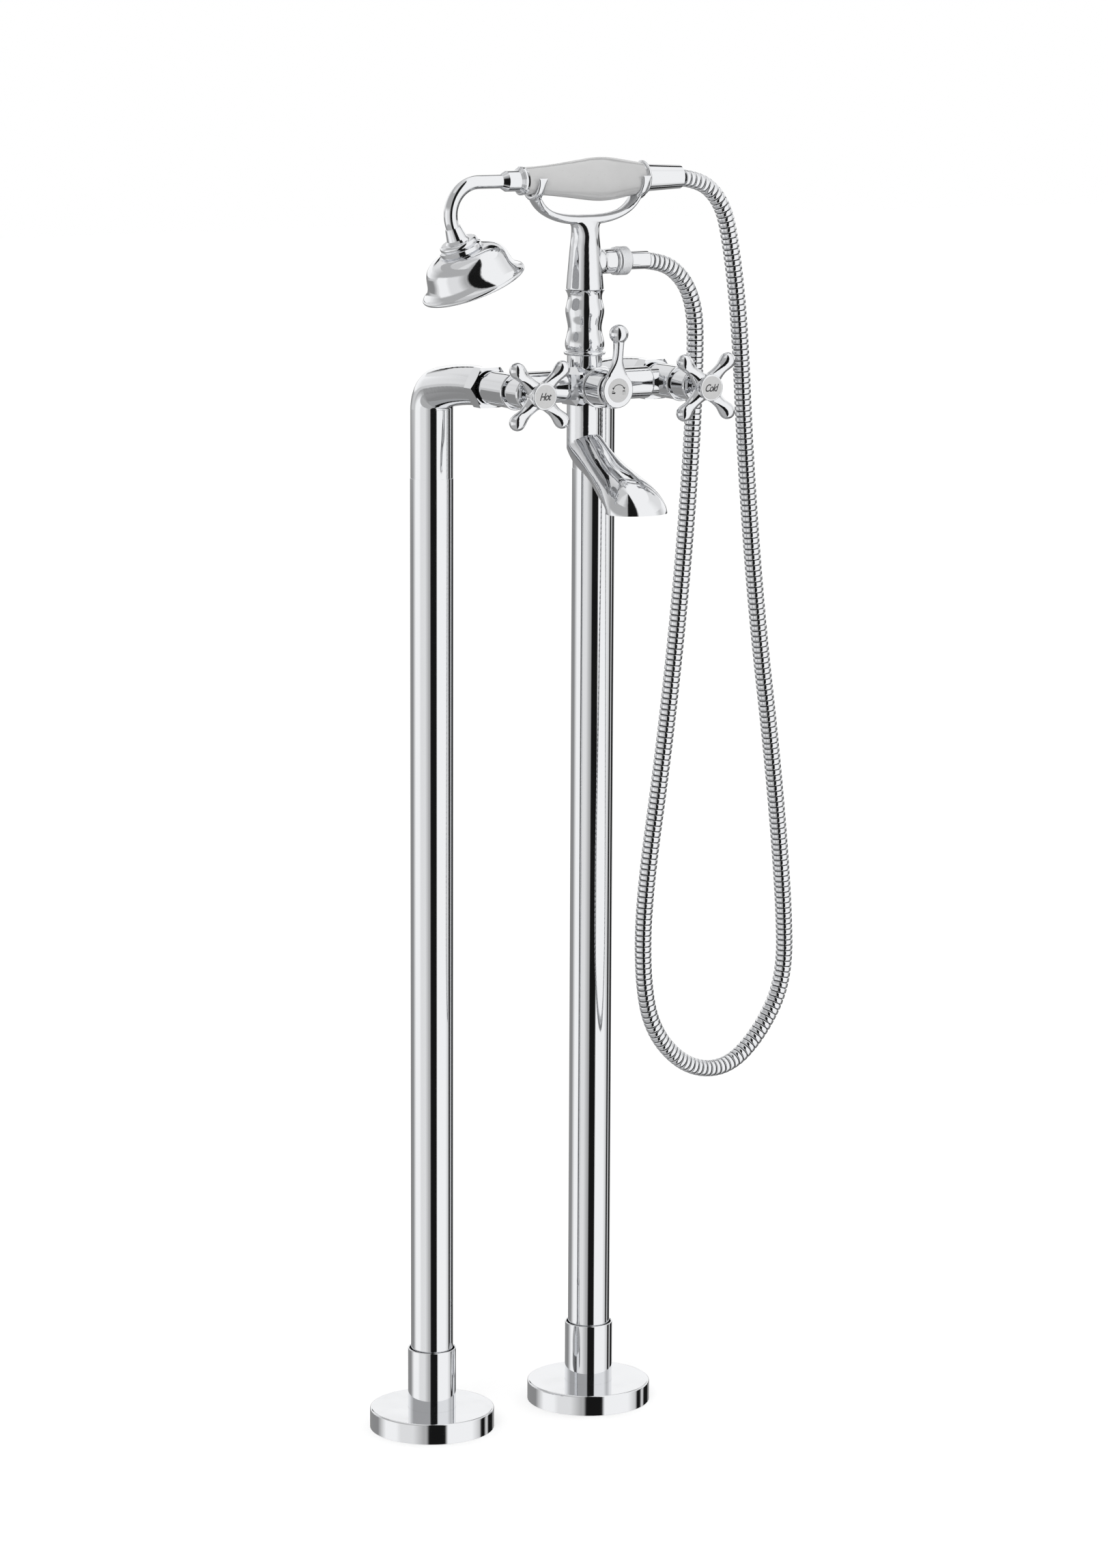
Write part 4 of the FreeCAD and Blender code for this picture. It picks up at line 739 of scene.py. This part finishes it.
def thick_outline(rims, depth):
    """Thin plates from closed outlines: a front and a back face and a wall between them."""
    points, faces, start = [], [], 0
    for rim in rims:
        n = len(rim)
        points.append(np.column_stack([rim, np.full(n, depth)]))
        points.append(np.column_stack([rim, np.full(n, -depth)]))
        area = np.sum(rim[:, 0] * np.roll(rim[:, 1], -1) - np.roll(rim[:, 0], -1) * rim[:, 1])
        k = np.arange(n)
        if area < 0:
            k = k[::-1]
        faces.append((start + k).tolist())
        faces.append((start + n + k[::-1]).tolist())
        nxt = np.roll(k, -1)
        faces += np.stack([start + k, start + n + k, start + n + nxt, start + nxt], axis=1).tolist()
        start += 2 * n
    return np.concatenate(points), faces


def disc_outline(x, y, radius, sides=16):
    """Points round a circle."""
    a = np.linspace(0, 2 * np.pi, sides, endpoint=False)
    return np.column_stack([x + radius * np.cos(a), y + radius * np.sin(a)])


class FILLER_OT_diverter_marks(bpy.types.Operator):
    """Draws the two-way arrow, the bath and the shower on the diverter's disc"""

    bl_idname = "filler.diverter_marks"
    bl_label = "Diverter marks"

    def execute(self, context):
        size = context.scene.filler_marks
        low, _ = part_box("diverter_index")
        radius = size.arc_radius / MM
        swing = np.radians(np.linspace(158, 22, 40))
        arc = np.column_stack([np.cos(swing), 0.80 * np.sin(swing)]) * radius
        rims = [ribbon(arc + (0.0, 0.6), 0.55)]
        for way in (-1, 1):
            tip = np.array([(-1.1, 0.8), (1.1, 0.8), (0.35, -1.1)]) * (way, 1)
            rims.append(tip + (way * radius * 0.98, 1.55))
        # a tub under a little spout, at the left
        tub_place, head_x = (-4.6, -1.5), 4.6
        tub = np.array([(-1.7, 0.2), (1.7, 0.2), (1.3, -1.0), (-1.3, -1.0)]) + tub_place
        spout = np.array([(-1.3, 0.5), (-1.3, 1.3), (0.4, 1.3), (0.4, 0.6), (0.0, 0.6), (0.0, 0.9),
                          (-0.9, 0.9), (-0.9, 0.5)]) + tub_place
        # a shower head over three rows of drops, at the right
        head = np.array([(-1.5, 0.4), (1.5, 0.4), (0.7, 1.2), (-0.7, 1.2)]) + (head_x, -1.3)
        rims += [tub, spout, head]
        for row in range(3):
            for column in range(3):
                rims.append(disc_outline(head_x + (column - 1) * 1.1, -1.6 - row * 0.75, 0.17, 8))
        points, faces = thick_outline([r * MM for r in rims], MARK_DEPTH)
        placed = stand_up(points, 0.0, low[1] - MARK_GAP, TAP_Z)
        mark = mesh_piece("mark_diverter", placed, faces, fired_ink(), smooth=False)
        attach(mark, frame_body("diverter_index"))
        return {"FINISHED"}


class FILLER_OT_finishes(bpy.types.Operator):
    """Gives every carried-over part its finish"""

    bl_idname = "filler.finishes"
    bl_label = "Finishes"

    def execute(self, context):
        finish = {
            "chromed_brass": chrome_plate(),
            "porcelain": glazed_porcelain(),
            "index_enamel": vitreous_enamel(),
            "bare_brass": machined_metal("machined brass", "D9B86A", 0.25, 0.22),
            "copper_pipe": machined_metal("drawn copper", "C77F5A", 1.0, 0.28),
            "stainless": machined_metal("turned stainless steel", "B9BABB", 0.3, 0.25),
            "rubber": sealing_rubber(),
            "hose_metal": chrome_plate("strip chrome", 0.09, 0.05),
        }
        slots = {part["node"]: part["material_slot"] for part in frame["record"]["subparts"]}
        for name, node in frame["nodes"].items():
            node.data.materials.clear()
            node.data.materials.append(finish[slots[name]])
        return {"FINISHED"}


# ------------------------------------------------------------------ stage
# The studio as a polished surface sees it, in layers from the floor upwards. Each stand is a plain
# light, wall or flag of one level: where it starts and ends, in degrees from +X towards +Y, and how
# bright it is. Between two stands the light runs evenly from one to the other. Chrome returns about
# three quarters of it.
BLACK = 0.01
DIM = 0.3
GREY = 0.5
PALE = 0.7
WALL = 0.9
LIGHT = 1.1
# the near side: a wall that turns grey beside a black flag, and a tall softbox on the right
NEAR = [(-180, -155, WALL), (-135, -130, GREY), (-125, -95, BLACK), (-90, -40, LIGHT)]
# the same side above and below, where the wall is in shade
NEAR_SHADE = [(-180, -130, GREY), (-125, -95, BLACK), (-90, -40, LIGHT)]
# the far side: two black stands with a pale gap on the right, and a window on the left
STANDS = [(-20, -20, PALE), (-15, -5, BLACK), (0, 5, PALE), (10, 30, BLACK)]
WINDOW = (145, 170, LIGHT)
SHADE = (140, 170, GREY)
LAYERS = [
    # the floor close by
    (None, None, NEAR_SHADE, STANDS + [(35, 110, DIM), SHADE]),
    # the floor further off, under the window
    (-0.42, -0.36, NEAR, STANDS + [(35, 120, DIM), WINDOW]),
    # its paler far end
    (-0.13, -0.08, NEAR, STANDS + [(35, 85, DIM), (110, 135, PALE), WINDOW]),
    # the white backdrop about the level
    (0.00, 0.04, NEAR, [(-20, -15, PALE), (10, 100, LIGHT), (135, 140, PALE), WINDOW]),
    # the same backdrop over the top of the window
    (0.08, 0.28, NEAR_SHADE, [(-20, -15, PALE), (10, 100, LIGHT), SHADE]),
    # a dark boom across the back
    (0.315, 0.335, NEAR_SHADE, [(-10, 45, WALL), (55, 80, BLACK), (90, 110, WALL), SHADE]),
    (0.385, 0.405, NEAR_SHADE, [(-10, 100, WALL), SHADE]),
    # the dark gap under the overhead softbox
    (0.57, 0.59, NEAR_SHADE, [(-10, 20, WALL), (30, 60, BLACK), (70, 170, GREY)]),
    # the overhead softbox
    (0.75, 0.77, NEAR, [(0, 60, LIGHT), (120, 170, PALE)]),
]


def brightness_ring(tree, share, ring):
    """The light of one ring of stands by compass direction, joined where its last meets its first."""
    node = add(tree, "ShaderNodeValToRGB", {0: share})
    ramp = node.color_ramp
    ramp.interpolation = "LINEAR"
    while len(ramp.elements) > 1:
        ramp.elements.remove(ramp.elements[-1])
    ends = [(end, level) for first, last, level in ring for end in sorted({first, last})]
    for count, (degrees, level) in enumerate(ends + [(180, ends[0][1])]):
        position = (degrees + 180) / 360
        stop = ramp.elements[0] if count == 0 else ramp.elements.new(position)
        stop.position = position
        stop.color = (level, level, level, 1.0)
    return node.outputs["Color"]


def studio_world(scene):
    """A white background, plain white light, and the rings of softboxes and flags for reflections."""
    world = bpy.data.worlds.new("studio")
    scene.world = world
    world.use_nodes = True
    tree = world.node_tree
    tree.nodes.clear()
    direction = add(tree, "ShaderNodeTexCoord").outputs["Generated"]
    axes = add(tree, "ShaderNodeSeparateXYZ", {0: direction}).outputs
    compass = add(tree, "ShaderNodeMath", {0: axes["Y"], 1: axes["X"]}, operation="ARCTAN2").outputs[0]
    share = add(tree, "ShaderNodeMapRange", {
        "Value": compass, "From Min": -math.pi, "From Max": math.pi,
    }).outputs["Result"]
    seen = None
    for low, high, near, far in LAYERS:
        ring = brightness_ring(tree, share, near + far)
        if seen is None:
            seen = ring
            continue
        step = add(tree, "ShaderNodeMapRange", {
            "Value": axes["Z"], "From Min": low, "From Max": high,
        }, interpolation_type="SMOOTHSTEP").outputs["Result"]
        seen = add(tree, "ShaderNodeMix", {0: step, 6: seen, 7: ring}, data_type="RGBA").outputs[2]
    light = add(tree, "ShaderNodeLightPath").outputs
    plain_level = 0.72
    soft = add(tree, "ShaderNodeBackground", {"Color": (1.0, 1.0, 1.0, 1.0), "Strength": plain_level})
    studio = add(tree, "ShaderNodeBackground", {"Color": seen, "Strength": 1.0})
    white = add(tree, "ShaderNodeBackground", {"Color": (1.0, 1.0, 1.0, 1.0), "Strength": 1.0})
    glossy = add(tree, "ShaderNodeMixShader", {
        0: light["Is Glossy Ray"], 1: soft.outputs[0], 2: studio.outputs[0],
    })
    final = add(tree, "ShaderNodeMixShader", {
        0: light["Is Camera Ray"], 1: glossy.outputs[0], 2: white.outputs[0],
    })
    add(tree, "ShaderNodeOutputWorld", {"Surface": final.outputs[0]})


class FILLER_OT_stage(bpy.types.Operator):
    """Makes the plain pale floor, the studio and its lamp"""

    bl_idname = "filler.stage"
    bl_label = "Stage"

    def execute(self, context):
        size = context.scene.filler_stage
        material, tree = new_material("pale matt floor")
        matt = add(tree, "ShaderNodeBsdfDiffuse", {"Color": tuple(size.floor) + (1.0,)})
        # the camera alone sees this lift towards white, so it throws no light on the object
        watched = add(tree, "ShaderNodeLightPath").outputs["Is Camera Ray"]
        to_white = 0.36
        lift = add(tree, "ShaderNodeMath", {0: watched, 1: to_white}, operation="MULTIPLY").outputs[0]
        glow = add(tree, "ShaderNodeEmission", {"Color": (1.0, 1.0, 1.0, 1.0), "Strength": lift})
        both = add(tree, "ShaderNodeAddShader", {0: matt.outputs[0], 1: glow.outputs[0]})
        add(tree, "ShaderNodeOutputMaterial", {"Surface": both.outputs[0]})
        reach = 14.0
        corners = np.array([(-reach, -reach), (reach, -reach), (reach, reach), (-reach, reach)])
        below_feet = 0.2 * MM
        points = np.column_stack([corners, np.full(4, -below_feet)])
        floor = mesh_piece("floor", points, [[0, 1, 2, 3]], material, smooth=False)
        floor.visible_glossy = False
        lamp = bpy.data.lights.new("key", "AREA")
        lamp.shape = "DISK"
        lamp.size = 1.8
        lamp.energy = size.key
        key = bpy.data.objects.new("key", lamp)
        key.location = (-2.6, -2.2, 2.9)
        key.rotation_mode = "QUATERNION"
        key.rotation_quaternion = (Vector((0, -0.1, 0.8)) - key.location).to_track_quat("-Z", "Y")
        key.visible_glossy = False
        context.scene.collection.objects.link(key)
        studio_world(context.scene)
        context.scene.view_settings.view_transform = "Standard"
        return {"FINISHED"}


class FILLER_PT_panel(bpy.types.Panel):
    """Lists the pieces and their settings"""

    bl_idname = "FILLER_PT_panel"
    bl_label = "Bath filler"
    bl_space_type = "VIEW_3D"
    bl_region_type = "UI"
    bl_category = "Bath filler"

    def draw(self, context):
        for operator in OPERATORS:
            self.layout.operator(operator.bl_idname)
        for group in SETTINGS:
            settings = getattr(context.scene, group)
            for name in settings.bl_rna.properties.keys():
                if name not in ("rna_type", "name"):
                    self.layout.prop(settings, name)


SETTINGS = {
    "filler_finish": FinishSettings,
    "filler_hose": HoseSettings,
    "filler_nut": NutSettings,
    "filler_marks": MarkSettings,
    "filler_stage": StageSettings,
}
OPERATORS = [
    FILLER_OT_camera,
    FILLER_OT_knurled_nut,
    FILLER_OT_hose,
    FILLER_OT_cross_handles,
    FILLER_OT_lever,
    FILLER_OT_cradle,
    FILLER_OT_finishes,
    FILLER_OT_tap_marks,
    FILLER_OT_diverter_marks,
    FILLER_OT_stage,
]


def register():
    for name, group in SETTINGS.items():
        bpy.utils.register_class(group)
        setattr(bpy.types.Scene, name, bpy.props.PointerProperty(type=group))
    for operator in OPERATORS:
        bpy.utils.register_class(operator)
    bpy.utils.register_class(FILLER_PT_panel)


def unregister():
    bpy.utils.unregister_class(FILLER_PT_panel)
    for operator in reversed(OPERATORS):
        bpy.utils.unregister_class(operator)
    for name, group in reversed(SETTINGS.items()):
        delattr(bpy.types.Scene, name)
        bpy.utils.unregister_class(group)


def main():
    """Registers the add-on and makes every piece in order."""
    register()
    for operator in OPERATORS:
        group, call = operator.bl_idname.split(".")
        getattr(getattr(bpy.ops, group), call)()


if __name__ == "__main__":
    main()
